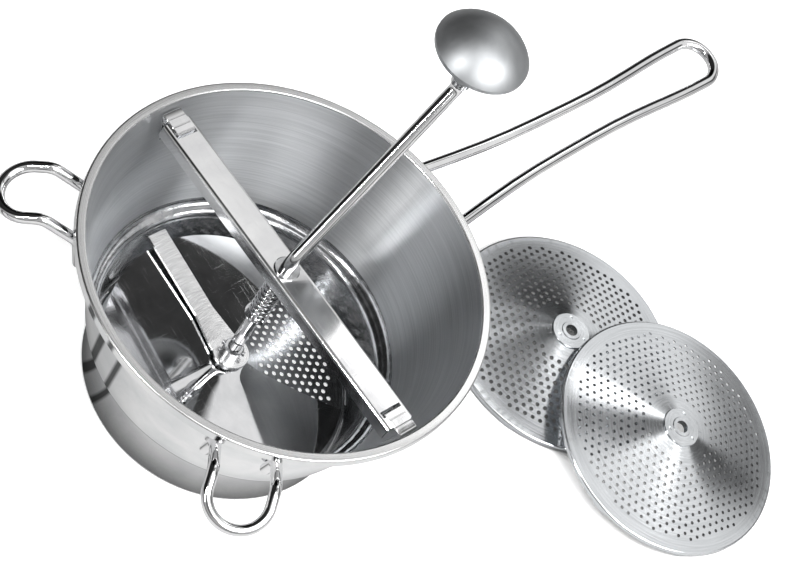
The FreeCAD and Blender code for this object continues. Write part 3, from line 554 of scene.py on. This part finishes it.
def potHookPath():
    h = potHook
    rootHeight = bowl["rimHeight"] - h["belowRim"]
    root = legPoint(rootHeight, h["spread"], h["wire"])
    foot = legPoint(rootHeight - h["leg"], h["spread"], h["wire"])
    hump = Vector((bowl["rimRadius"] + h["humpOut"], (h["spread"] + h["loop"]) / 2,
                   rootHeight + h["humpUp"]))
    tip = Vector((h["reach"] - h["wire"], h["loop"], rootHeight + h["tipUp"]))
    return mirrored([foot, root, hump, tip], [h["bend"], h["bend"], h["loop"] - h["loopFlat"]])


quarter = Matrix.Rotation(math.radians(90), 4, "Z")
addPiece("long_handle_wire", tube(longHandlePath(), longHandle["wire"]), ["wire"], "mill",
         ["long_handle"], quarter)
for node, angle in potHook["angles"].items():
    turn = Matrix.Rotation(math.radians(angle), 4, "Z")
    addPiece(node + "_wire", tube(potHookPath(), potHook["wire"]), ["wire"], "mill", [node],
             turn)
print("handles done")


# sieve discs

sieve = {"radius": 79.0, "gauge": 0.8, "corner": 1.6, "foot": 1.2, "footWidth": 9.0, "feet": 8,
         "skirt": 3.0, "rise": 12.5, "flare": 340.0, "hub": 12.85, "hubPlate": 1.5,
         "bore": 4.08, "seat": 0.9, "turns": 256}
holes = {"inner": 22.5, "outer": 69.5, "rows": 31, "sides": 12, "depth": 60.0, "steepest": 0.7}
spares = {"x": 88.0, "y": 222.0, "rest": 11.1, "bearing": 10.0, "gap": 0.15, "turn": 20.0}
sieveCrown = sieve["foot"] + sieve["skirt"] + sieve["rise"]


def flareArc():
    # the arc that a plate's upper face follows: its centre, and the radius where it starts
    s = sieve
    edge, low = s["radius"] - s["corner"], s["foot"] + s["skirt"]
    chord = Vector((s["hub"] - edge, sieveCrown - low))
    half = chord.length / 2
    across = Vector((chord.y, -chord.x)).normalized()
    middle = Vector((edge + s["hub"], low + sieveCrown)) / 2
    return middle + across * math.sqrt(s["flare"] ** 2 - half * half), edge


flareCentre, plateEdge = flareArc()


def flareHeight(radius):
    return flareCentre.y - math.sqrt(sieve["flare"] ** 2 - (radius - flareCentre.x) ** 2)


def sievePlate():
    s = sieve
    g, corner, radius, foot = s["gauge"], s["corner"], s["radius"], s["foot"]
    top = foot + s["skirt"]
    corners = [
        (radius - g, foot), (radius, foot), (radius, top - corner, corner),
        (radius - corner, top, -s["flare"]), (s["hub"], sieveCrown), (s["bore"], sieveCrown),
        (s["bore"], sieveCrown - g), (s["hub"], sieveCrown - g, s["flare"]),
        (radius - corner, top - g, -(corner - g)), (radius - g, top - corner),
    ]
    mesh = lathe(corners, s["turns"], step=0.7)
    low = foot * mm + 1e-7
    for vert in mesh.verts:
        if vert.co.z > low:
            continue
        angle = math.degrees(math.atan2(vert.co.y, vert.co.x)) % (360 / s["feet"])
        away = min(angle, 360 / s["feet"] - angle)
        if math.radians(away) * radius < s["footWidth"] / 2:
            vert.co.z = 0
    return mesh


def perforationTree():
    tree = bpy.data.node_groups.new("perforate", "GeometryNodeTree")
    sockets = {}
    for label, kind in (("Plate", "NodeSocketGeometry"), ("Hole Radius", "NodeSocketFloat"),
                        ("Pitch", "NodeSocketFloat"), ("Inner Radius", "NodeSocketFloat"),
                        ("Outer Radius", "NodeSocketFloat"), ("Turn", "NodeSocketFloat"),
                        ("Rows", "NodeSocketInt"), ("Sides", "NodeSocketInt"),
                        ("Material", "NodeSocketMaterial")):
        socket = tree.interface.new_socket(label, in_out="INPUT", socket_type=kind)
        sockets[label] = socket.identifier
    tree.interface.new_socket("Plate", in_out="OUTPUT", socket_type="NodeSocketGeometry")
    given = tree.nodes.new("NodeGroupInput")
    result = tree.nodes.new("NodeGroupOutput")

    index = tree.nodes.new("GeometryNodeInputIndex").outputs[0]
    rows = given.outputs["Rows"]
    column = mathNode(tree, "MODULO", index, rows)
    row = mathNode(tree, "FLOOR", mathNode(tree, "DIVIDE", index, rows))
    middle = mathNode(tree, "DIVIDE", mathNode(tree, "SUBTRACT", rows, 1), 2)
    shift = mathNode(tree, "MULTIPLY", mathNode(tree, "MODULO", row, 2), 0.5)
    x = mathNode(tree, "ADD", mathNode(tree, "SUBTRACT", column, middle), shift)
    y = mathNode(tree, "MULTIPLY", mathNode(tree, "SUBTRACT", row, middle), math.sqrt(3) / 2)
    spot = tree.nodes.new("ShaderNodeCombineXYZ")
    tree.links.new(mathNode(tree, "MULTIPLY", x, given.outputs["Pitch"]), spot.inputs[0])
    tree.links.new(mathNode(tree, "MULTIPLY", y, given.outputs["Pitch"]), spot.inputs[1])
    turned = tree.nodes.new("ShaderNodeVectorRotate")
    turned.rotation_type = "Z_AXIS"
    tree.links.new(spot.outputs[0], turned.inputs["Vector"])
    tree.links.new(given.outputs["Turn"], turned.inputs["Angle"])

    points = tree.nodes.new("GeometryNodePoints")
    tree.links.new(mathNode(tree, "MULTIPLY", rows, rows), points.inputs["Count"])
    tree.links.new(turned.outputs[0], points.inputs["Position"])

    reach = vectorNode(tree, "LENGTH", tree.nodes.new("GeometryNodeInputPosition").outputs[0])
    tooNear = mathNode(tree, "LESS_THAN", reach, given.outputs["Inner Radius"])
    tooFar = mathNode(tree, "GREATER_THAN", reach, given.outputs["Outer Radius"])
    drop = tree.nodes.new("GeometryNodeDeleteGeometry")
    drop.domain = "POINT"
    tree.links.new(points.outputs[0], drop.inputs["Geometry"])
    tree.links.new(mathNode(tree, "MAXIMUM", tooNear, tooFar), drop.inputs["Selection"])

    punch = tree.nodes.new("GeometryNodeMeshCylinder")
    feedAll(tree, punch, {"Vertices": given.outputs["Sides"], "Depth": holes["depth"] * mm,
                          "Radius": given.outputs["Hole Radius"]})
    punches = tree.nodes.new("GeometryNodeInstanceOnPoints")
    tree.links.new(drop.outputs[0], punches.inputs["Points"])
    tree.links.new(punch.outputs["Mesh"], punches.inputs["Instance"])
    solid = tree.nodes.new("GeometryNodeRealizeInstances")
    tree.links.new(punches.outputs[0], solid.inputs[0])

    cut = tree.nodes.new("GeometryNodeMeshBoolean")
    cut.operation = "DIFFERENCE"
    cut.solver = "MANIFOLD"
    tree.links.new(given.outputs["Plate"], cut.inputs["Mesh 1"])
    tree.links.new(solid.outputs[0], cut.inputs["Mesh 2"])
    finish = tree.nodes.new("GeometryNodeRealizeInstances")
    tree.links.new(cut.outputs["Mesh"], finish.inputs[0])
    paint = tree.nodes.new("GeometryNodeSetMaterial")
    tree.links.new(finish.outputs[0], paint.inputs["Geometry"])
    tree.links.new(given.outputs["Material"], paint.inputs["Material"])
    tree.links.new(paint.outputs[0], result.inputs[0])
    return tree, sockets


perforate, perforateSockets = perforationTree()


def plateNormal(co):
    # the upper face's direction at a radius of the flared plate
    reach = math.hypot(co.x, co.y) / mm
    if reach <= sieve["hub"] or reach >= plateEdge:
        return None
    slope = Vector((flareCentre.x - reach, flareCentre.y - flareHeight(reach))).normalized()
    return Vector((slope.x * co.x, slope.x * co.y, slope.y * reach * mm)).normalized()


def perforated(steel, disc):
    name = disc["piece"]
    plate = bpy.data.meshes.new(name + "_blank")
    mesh = sievePlate()
    mesh.to_mesh(plate)
    mesh.free()
    blank = newObject(name + "_blank", plate)
    steps = blank.modifiers.new("perforate", "NODES")
    steps.node_group = perforate
    values = {"Hole Radius": disc["hole"] * mm, "Pitch": disc["pitch"] * mm,
              "Inner Radius": holes["inner"] * mm, "Outer Radius": holes["outer"] * mm,
              "Turn": math.radians(disc["turn"]), "Rows": holes["rows"], "Sides": holes["sides"],
              "Material": steels[steel]}
    for label, value in values.items():
        steps[perforateSockets[label]] = value
    graph = bpy.context.evaluated_depsgraph_get()
    data = bpy.data.meshes.new_from_object(blank.evaluated_get(graph))
    data.name = name
    data.materials.clear()
    bpy.data.objects.remove(blank)
    bpy.data.meshes.remove(plate)

    data.shade_smooth()
    data.set_sharp_from_angle(angle=math.radians(crease))
    normals = [corner.vector.copy() for corner in data.corner_normals]
    for face in data.polygons:
        for k in face.loop_indices:
            exact = plateNormal(data.vertices[data.loops[k].vertex_index].co)
            if exact is None or abs(face.normal.z) < holes["steepest"]:
                continue
            normals[k] = exact if face.normal.z > 0 else -exact
    data.normals_split_custom_set(normals)
    data.transform(disc["place"])
    addMesh(name, data, [steel], disc["body"], [disc["node"]])
    print(name, len(data.polygons), "faces")


def sparePlaces():
    s = spares
    coarse = Matrix.Translation((s["x"], s["y"], 0))
    bearing = math.radians(s["bearing"])
    towards = Vector((math.cos(bearing), math.sin(bearing), 0))
    span = 2 * sieve["radius"]
    lean = math.asin((sieveCrown + sieve["hubPlate"] + s["gap"]) / span)
    tilt = Matrix.Rotation(lean, 4, Vector((-towards.y, towards.x, 0)))
    foot = Vector((s["x"], s["y"], 0)) + towards * (s["rest"] + span * math.cos(lean))
    centre = foot + tilt.to_3x3() @ (towards * -sieve["radius"])
    fine = Matrix.Translation(centre) @ tilt @ Matrix.Rotation(bearing, 4, "Z")
    return coarse @ Matrix.Rotation(math.radians(s["turn"]), 4, "Z"), fine


def scaledPlace(place):
    return Matrix.Translation(place.to_translation() * mm) @ place.to_3x3().to_4x4()


coarsePlace, finePlace = (scaledPlace(m) for m in sparePlaces())
# the fitted disc's steel is painted darker than the spares': painted shade for its place down in
# the bowl
discs = {
    "sieveFittedShaded": {"piece": "sieve_disc_plate", "node": "sieve_disc", "body": "mill", "hole": 1.4,
                    "pitch": 5.35, "turn": 4, "dark": (0.36, 0.37, 0.38),
                    "light": (0.58, 0.59, 0.60),
                    "place": Matrix.Translation((0, 0, sieve["seat"] * mm))},
    "sieveCoarse": {"piece": "spare_coarse_plate", "node": "spare_coarse_disc",
                    "body": "coarse_disc", "hole": 1.4, "pitch": 5.4, "turn": 12,
                    "dark": (0.62, 0.64, 0.66), "light": (0.79, 0.81, 0.83),
                    "place": coarsePlace},
    "sieveFine": {"piece": "spare_fine_plate", "node": "spare_fine_disc", "body": "fine_disc",
                  "hole": 1.1, "pitch": 5.3, "turn": 8, "dark": (0.66, 0.68, 0.70),
                  "light": (0.84, 0.86, 0.88), "place": finePlace},
}
sieveSteel = {"roughness": (0.13, 0.22), "anisotropy": 0.75, "fineness": 2200.0,
              "depth": 0.000012}
for key, disc in discs.items():
    axis = disc["place"].to_3x3() @ Vector((0, 0, 1))
    steels[key] = turnedSteel(key, disc["dark"], disc["light"],
                              centre=tuple(disc["place"].to_translation()), axis=tuple(axis),
                              **sieveSteel)
for key, disc in discs.items():
    perforated(key, disc)
print("sieves done")


# crank, knob and blade

crank = {"wire": 4.0, "reach": 92.0, "angle": 101.0, "tip": 14.7, "corner": 129.0, "top": 221.0,
         "bend": 12.0, "spigotBend": 9.0, "spigot": 28.0, "gap": 0.08}
knob = {"radius": 27.0, "dome": 15.0, "shell": 0.8, "edge": 2.4, "underside": 25.0, "stem": 9.0,
        "flare": 32.0, "bushWall": 1.5, "fixed": 0.03}
blade = {"radius": 77.0, "gauge": 1.0, "clearance": 0.6, "lowEdge": 42.0, "fold": 133.0,
         "sweep": 292.0, "tilt": 6.8, "core": 10.0, "bore": 8.03, "level": 21.2, "swell": 0.6,
         "lowRows": 60, "highRows": 70, "columns": 22, "crowding": 1.2}


def crankOutward():
    angle = math.radians(crank["angle"])
    return Vector((math.cos(angle), math.sin(angle), 0)) * crank["reach"]


def crankPath():
    out = crankOutward()
    points = [Vector((0, 0, crank["tip"])), Vector((0, 0, crank["corner"])),
              out + Vector((0, 0, crank["top"])),
              out + Vector((0, 0, crank["top"] + crank["spigot"]))]
    return wirePath(points, [crank["bend"], crank["spigotBend"]])


addPiece("crank_wire", tube(crankPath(), crank["wire"], 32, 0.7), ["wire"], "crank", ["crank"])


def knobOutlines():
    k = knob
    shell = k["shell"]
    sleeve = crank["wire"] + crank["gap"] + k["bushWall"] + k["fixed"]
    foot = crank["top"] + k["stem"]
    rim = foot + k["underside"]
    edge = k["radius"] - shell - k["fixed"] * 3
    seat = rim - k["edge"] + shell * 1.5
    base = [(sleeve, foot), (sleeve + shell, foot, -k["flare"]), (edge - shell, seat),
            (edge, seat), (edge, seat + shell), (edge - shell * 2, seat + shell, k["flare"]),
            (sleeve, foot + shell * 2)]
    low = rim - k["edge"]
    crown = rim + k["dome"]
    outer = (k["radius"] ** 2 + k["dome"] ** 2) / (k["dome"] * 2)
    inside = k["radius"] - shell
    innerRise = k["dome"] - shell * 0.6
    inner = (inside ** 2 + innerRise ** 2) / (innerRise * 2)
    top = [(inside - shell * 1.6, low), (k["radius"] - shell * 0.5, low, shell * 0.5),
           (k["radius"], low + shell * 0.5), (k["radius"], rim, outer), (0, crown),
           (0, crown - shell, -inner), (inside, rim - shell * 0.4), (inside, low + shell),
           (inside - shell * 1.6, low + shell)]
    return base, top


knobPlace = Matrix.Translation(crankOutward() * mm)
knobBase, knobTop = knobOutlines()
addPiece("knob_lower_shell", lathe(knobBase, 160, step=3.0), ["knob"], "knob", ["knob_base"],
         knobPlace)
addPiece("knob_upper_shell", lathe(knobTop, 160, step=2.0), ["knob"], "knob", ["knob_top"],
         knobPlace)


def sieveSurface(radius):
    return sieve["seat"] + flareHeight(min(max(radius, sieve["hub"] / 2), plateEdge))


def bladeHeight(radius, turn):
    b = blade
    level = b["level"]
    if turn > b["fold"]:
        angle = math.radians(b["lowEdge"] - turn)
        foldAngle = math.radians(b["lowEdge"] - b["fold"])
        beyond = radius * (math.cos(foldAngle) - math.cos(angle))
        return level + max(beyond, 0) * math.tan(math.radians(b["tilt"]))
    core = b["core"]
    low = sieveSurface(radius) + b["clearance"]
    swell = level - sieveSurface(core) - b["clearance"]
    low += swell * math.exp(-((max(radius - core, 0) / (core * b["swell"])) ** 2))
    share = turn / b["fold"]
    return low + (level - low) * share * share * (3 - 2 * share)


def bladeMesh():
    b = blade
    low, high, across = b["lowRows"], b["highRows"], b["columns"]
    turns = [b["fold"] * k / low for k in range(low + 1)]
    turns += [b["fold"] + (b["sweep"] - b["fold"]) * k / high for k in range(1, high + 1)]
    radii = [b["bore"], b["core"]]
    radii += [b["core"] + (b["radius"] - b["core"]) * (k / across) ** b["crowding"]
              for k in range(1, across + 1)]
    mesh = bmesh.new()
    sheets = []
    for lift in (0.0, b["gauge"]):
        sheet = []
        for turn in turns:
            angle = math.radians(b["lowEdge"] - turn)
            sheet.append([mesh.verts.new(Vector((
                r * math.cos(angle), r * math.sin(angle),
                bladeHeight(max(r, b["core"]), turn) + lift)) * mm) for r in radii])
        sheets.append(sheet)
    rows, columns = len(turns), len(radii)
    for sheet in sheets:
        for i in range(rows - 1):
            for j in range(columns - 1):
                mesh.faces.new((sheet[i][j], sheet[i + 1][j], sheet[i + 1][j + 1], sheet[i][j + 1]))
    rim = [(i, 0) for i in range(rows)] + [(rows - 1, j) for j in range(1, columns)]
    rim += [(i, columns - 1) for i in range(rows - 2, -1, -1)]
    rim += [(0, j) for j in range(columns - 2, 0, -1)]
    for (i, j), (m, n) in zip(rim, rim[1:] + rim[:1]):
        mesh.faces.new((sheets[0][i][j], sheets[0][m][n], sheets[1][m][n], sheets[1][i][j]))
    bmesh.ops.recalc_face_normals(mesh, faces=mesh.faces)
    return mesh


addPiece("blade_sheet", bladeMesh(), ["blade"], "crank", ["blade"], sharp=20)
print("crank, knob and blade done")


# spring: each half follows the part it rests on

spring = {"wire": 0.85, "radius": 5.5, "turns": 10, "steps": 60, "seam": 0.06, "press": 6.0,
          "lift": 5.0, "sides": 16, "dome": 0.04}


def springHalf(foot, top, first, last):
    count = spring["turns"] * spring["steps"]
    path = []
    for k in range(first * spring["steps"], last * spring["steps"] + 1):
        angle = 2 * math.pi * k / spring["steps"]
        path.append(Vector((math.cos(angle) * spring["radius"], math.sin(angle) * spring["radius"],
                            foot + (top - foot) * k / count)))
    for end, inner in ((0, 1), (-1, -2)):
        path[end] += (path[inner] - path[end]).normalized() * spring["seam"]
    return tube(path, spring["wire"], spring["sides"], spring["dome"])


def addSpring():
    low, high = (corner[2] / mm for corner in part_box("spring"))
    foot, top = low + spring["wire"], high - spring["wire"]
    middle = spring["turns"] // 2
    for name, ends, body, replaced, joint, anchor, travel in (
            ("spring_upper", (middle, spring["turns"]), "bridge", ["spring"], "bridge_press", high,
             spring["press"]),
            ("spring_lower", (0, middle), "thrust_washer", [], "blade_lift", low, spring["lift"])):
        piece = addPiece(name, springHalf(foot, top, *ends), ["spring"], body, replaced)
        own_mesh(piece)


addSpring()
print("spring done")


# the catches: strips folded over the bridge's ends, with two pressed folds

strap = {"gauge": 1.5, "width": 12.5, "height": 18.0, "tip": 3.6, "gap": 0.25, "round": 1.35,
         "bridgeTop": 121.0, "bridgeHalf": 106.0, "slotInset": 8.4, "edge": 0.22,
         "foldDepth": 0.45, "foldHalf": 0.55, "foldShares": (0.30, 0.70), "step": 15.0,
         "edgeSteps": 2}


def strapOutline():
    # x runs outwards along the bridge, y is height
    t = strap
    g, curve = t["gauge"], t["round"]
    under = t["bridgeTop"] + t["gap"] / 2
    top = under + g
    foot = top - t["height"]
    tipOuter = t["bridgeHalf"] - t["slotInset"] + g / 2
    tipInner = tipOuter - g

    def onWall(height):
        return wallInside(height)[0] - t["gap"]

    shoulder = onWall(top - curve)
    span = shoulder - curve - (tipInner + curve)
    folds = []
    for share in t["foldShares"]:
        x = shoulder - curve - span * share
        folds += [(x + t["foldHalf"], top), (x, top - t["foldDepth"]), (x - t["foldHalf"], top)]
    return [(onWall(foot), foot), (shoulder, top - curve, curve), (shoulder - curve, top), *folds,
            (tipInner + curve, top, curve), (tipInner, top - curve), (tipInner, under - t["tip"]),
            (tipOuter, under - t["tip"]), (tipOuter, under), (onWall(under) - g, under),
            (onWall(foot) - g, foot)]


def strapMesh():
    points, _ = traced(strapOutline(), strap["step"])
    mesh = bmesh.new()
    half = strap["width"] / 2
    sides = [[mesh.verts.new((p.x * mm, y * mm, p.y * mm)) for p in points] for y in (-half, half)]
    count = len(points)
    for i in range(count):
        n = (i + 1) % count
        mesh.faces.new((sides[0][i], sides[0][n], sides[1][n], sides[1][i]))
    for side in sides:
        mesh.faces.new(side)
    bmesh.ops.recalc_face_normals(mesh, faces=mesh.faces)
    rims = [edge for edge in mesh.edges if any(len(face.verts) > 4 for face in edge.link_faces)]
    bmesh.ops.bevel(mesh, geom=rims, offset=strap["edge"] * mm, segments=strap["edgeSteps"],
                    affect="EDGES", clamp_overlap=True)
    bmesh.ops.triangulate(mesh, faces=[face for face in mesh.faces if len(face.verts) > 4])
    bmesh.ops.recalc_face_normals(mesh, faces=mesh.faces)
    return mesh


for node, angle in (("catch_right", 0), ("catch_left", 180)):
    addPiece(node + "_strap", strapMesh(), ["bridge"], "mill", [node],
             Matrix.Rotation(math.radians(angle), 4, "Z"), sharp=25)
print("catches done")


# CAD nodes that stay, with their steel

kept = {
    "bridge": ["bridge"],
    "arm": ["blade_arm"],
    "small": ["bridge_bush", "bridge_washer", "spring_seat", "spring_stop_pin", "blade_hub",
              "hub_pin", "knob_bush", "knob_retainer"],
    # the fitted disc's hub takes the same darker steel, painted shade inside the bowl
    "sieveFittedShaded": ["sieve_disc_hub", "sieve_disc_hub_ring"],
    "sieveCoarse": ["spare_coarse_disc_hub", "spare_coarse_disc_hub_ring"],
    "sieveFine": ["spare_fine_disc_hub", "spare_fine_disc_hub_ring"],
}
for key, names in kept.items():
    for name in names:
        for holder in nodes[name].material_slots:
            holder.material = steels[key]


# floor, room and lamps

# the floor's painted shade near and under pieces, its painted dark ring and sectors seen only in
# reflections, and its painted glow under the mill are set here
paper = {"half": 6.0, "drop": 0.0004, "shade": 0.90, "paintedShadeTone": 0.07, "lift": 0.50,
         "under": 0.75, "skySamples": 8, "close": 0.030, "closeRange": (0.30, 0.45),
         "wide": 0.04, "wideRange": (0.45, 0.80), "glossTones": (0.26, 0.56), "glossLift": 0.08,
         "underGlow": (0.070, 0.082), "bands": ((-122, -117), (-106, -103)), "bandEdge": 1.0,
         "bandShade": 0.18, "skirt": (0.084, 0.106), "skirtShade": 0.45}


def occluded(tree, distance, low, high, dark, light=1.0):
    # painted shade: how open the floor is to the sky, from dark under a piece to light in the open
    node = tree.nodes.new("ShaderNodeAmbientOcclusion")
    node.samples = paper["skySamples"]
    node.inputs["Distance"].default_value = distance
    return spread(tree, node.outputs["AO"], low, high, dark, light)


def banded(tree, place):
    # painted reflection: narrow dark sectors on the floor that only polished steel mirrors
    split = tree.nodes.new("ShaderNodeSeparateXYZ")
    tree.links.new(place, split.inputs[0])
    bearing = mathNode(tree, "ARCTAN2", split.outputs[1], split.outputs[0])
    edge = math.radians(paper["bandEdge"])
    shade = None
    for start, end in (map(math.radians, band) for band in paper["bands"]):
        before = spread(tree, bearing, start - edge, start + edge, 1.0, 0.0)
        after = spread(tree, bearing, end - edge, end + edge, 0.0, 1.0)
        band = mathNode(tree, "MAXIMUM", before, after)
        band = mathNode(tree, "MAXIMUM", band, paper["bandShade"])
        shade = band if shade is None else mathNode(tree, "MULTIPLY", shade, band)
    return shade


def paperMaterial():
    # matt white paper, lifted for the camera and for reflections, with painted shade in closed
    # corners and under pieces, painted dark sectors and a painted dark ring that only reflections
    # show, and a painted glow under the mill
    material = bpy.data.materials.new("floorPaper")
    material.use_nodes = True
    tree = material.node_tree
    tree.nodes.remove(tree.nodes["Principled BSDF"])
    coords = tree.nodes.new("ShaderNodeTexCoord")
    reach = vectorNode(tree, "LENGTH", coords.outputs["Object"])
    # painted light: the floor under the mill is made bright and glowing, so the fitted sieve's
    # holes look white
    underGlow = spread(tree, reach, *paper["underGlow"], 1.0, 0.0)
    # painted shade on the floor near and under pieces, as the camera sees it
    contactShade = occluded(tree, paper["close"], *paper["closeRange"], paper["paintedShadeTone"])
    # painted shade for reflections: the floor that steel mirrors is darker near pieces
    around = occluded(tree, paper["wide"], *paper["wideRange"], *paper["glossTones"])
    # the painted dark sectors go only into the tone that reflections see
    around = mathNode(tree, "MULTIPLY", around, banded(tree, coords.outputs["Object"]))
    # painted shade for reflections: a darker ring of floor round the bowl's foot, which the outer
    # wall mirrors
    skirt = spread(tree, reach, *paper["skirt"], paper["skirtShade"], 1.0)
    around = mathNode(tree, "MULTIPLY", around, skirt)
    rays = tree.nodes.new("ShaderNodeLightPath")
    glossy = rays.outputs["Is Glossy Ray"]
    choice = tree.nodes.new("ShaderNodeMix")
    feedAll(tree, choice, {"Factor": glossy, "A": contactShade, "B": around})
    openness = mathNode(tree, "MAXIMUM", choice.outputs["Result"], underGlow)
    tone = tree.nodes.new("ShaderNodeCombineColor")
    for channel in tone.inputs:
        if channel.enabled:
            tree.links.new(mathNode(tree, "MULTIPLY", openness, paper["shade"]), channel)
    matt = tree.nodes.new("ShaderNodeBsdfDiffuse")
    tree.links.new(tone.outputs[0], matt.inputs["Color"])
    seen = mathNode(tree, "MAXIMUM", rays.outputs["Is Camera Ray"], glossy)
    raised = spread(tree, glossy, 0.0, 1.0, paper["lift"], paper["glossLift"])
    # emission: an even lift where the floor is open, plus the painted glow under the mill
    level = mathNode(tree, "ADD", mathNode(tree, "MULTIPLY", openness, raised),
                     mathNode(tree, "MULTIPLY", underGlow, paper["under"] - paper["lift"]))
    lift = tree.nodes.new("ShaderNodeEmission")
    tree.links.new(mathNode(tree, "MULTIPLY", seen, level), lift.inputs["Strength"])
    both = tree.nodes.new("ShaderNodeAddShader")
    tree.links.new(matt.outputs[0], both.inputs[0])
    tree.links.new(lift.outputs[0], both.inputs[1])
    tree.links.new(both.outputs[0], tree.nodes["Material Output"].inputs["Surface"])
    return material


def addFloor():
    half, low = paper["half"], -paper["drop"]
    corners = [(x * half, y * half, low) for x, y in ((-1, -1), (1, -1), (1, 1), (-1, 1))]
    data = bpy.data.meshes.new("floor")
    data.from_pydata(corners, [], [(0, 1, 2, 3)])
    data.materials.append(paperMaterial())
    newObject("floor", data)


# lamps, as azimuth, elevation, size and power, all at one distance from the middle
lampDistance, lampFocus = 1.7, Vector((0.05, 0.08, 0.05))
lamps = {"overheadBox": (-20, 76, (0.8, 0.8), 6), "keyBox": (-8, 50, (1.5, 0.6), 27),
         "bridgeBox": (104, 53, (0.36, 0.20), 0.5), "stripBox": (260, 42, (0.07, 1.0), 14)}


def addLamp(name, azimuth, elevation, size, power):
    data = bpy.data.lights.new(name, "AREA")
    data.shape = "RECTANGLE"
    data.size, data.size_y = size
    data.energy = power
    lamp = newObject(name, data)
    away = direction(azimuth, elevation)
    turn = (-away).to_track_quat("-Z", "Y").to_matrix().to_4x4()
    lamp.matrix_world = Matrix.Translation(lampFocus + away * lampDistance) @ turn


studio = {"pale": 0.95, "horizon": 0.10, "horizonRange": (0.03, 0.20), "strength": 0.92}

# dark parts of the room, as azimuth, elevation, full and fading radius in degrees, and shade
darkSpots = {"side": (190, 34, 40, 48, 0.03), "low": (140, 22, 24, 32, 0.03),
             "front": (80, 31, 9, 14, 0.22), "corner": (56, 26, 12, 17, 0.12),
             "camera": (283, 48, 8, 15, 0.35), "back": (285, 22, 38, 66, 0.50),
             "blade": (98, 58, 3.5, 6, 0.05), "crown": (118, 72, 8, 12, 0.20)}


def setWorld():
    world = bpy.data.worlds.new("studio")
    bpy.context.scene.world = world
    world.use_nodes = True
    tree = world.node_tree
    coords = tree.nodes.new("ShaderNodeTexCoord")
    split = tree.nodes.new("ShaderNodeSeparateXYZ")
    tree.links.new(coords.outputs["Generated"], split.inputs[0])
    shade = spread(tree, split.outputs[2], *studio["horizonRange"],
                   studio["horizon"] * studio["pale"], studio["pale"])
    for azimuth, elevation, full, fade, dark in darkSpots.values():
        middle = direction(azimuth, elevation)
        facing = vectorNode(tree, "DOT_PRODUCT", coords.outputs["Generated"], middle)
        spot = spread(tree, facing, math.cos(math.radians(fade)), math.cos(math.radians(full)),
                      1.0, dark)
        shade = mathNode(tree, "MULTIPLY", shade, spot)
    rays = tree.nodes.new("ShaderNodeLightPath")
    seen = tree.nodes.new("ShaderNodeMix")
    feedAll(tree, seen, {"Factor": rays.outputs["Is Camera Ray"], "B": 1.0,
                         "A": mathNode(tree, "MULTIPLY", shade, studio["strength"])})
    feedAll(tree, tree.nodes["Background"],
            {"Color": (1, 1, 1, 1), "Strength": seen.outputs["Result"]})


addFloor()
setWorld()
bpy.context.scene.view_settings.view_transform = "Standard"
for name, values in lamps.items():
    addLamp(name, *values)
print("stage set")
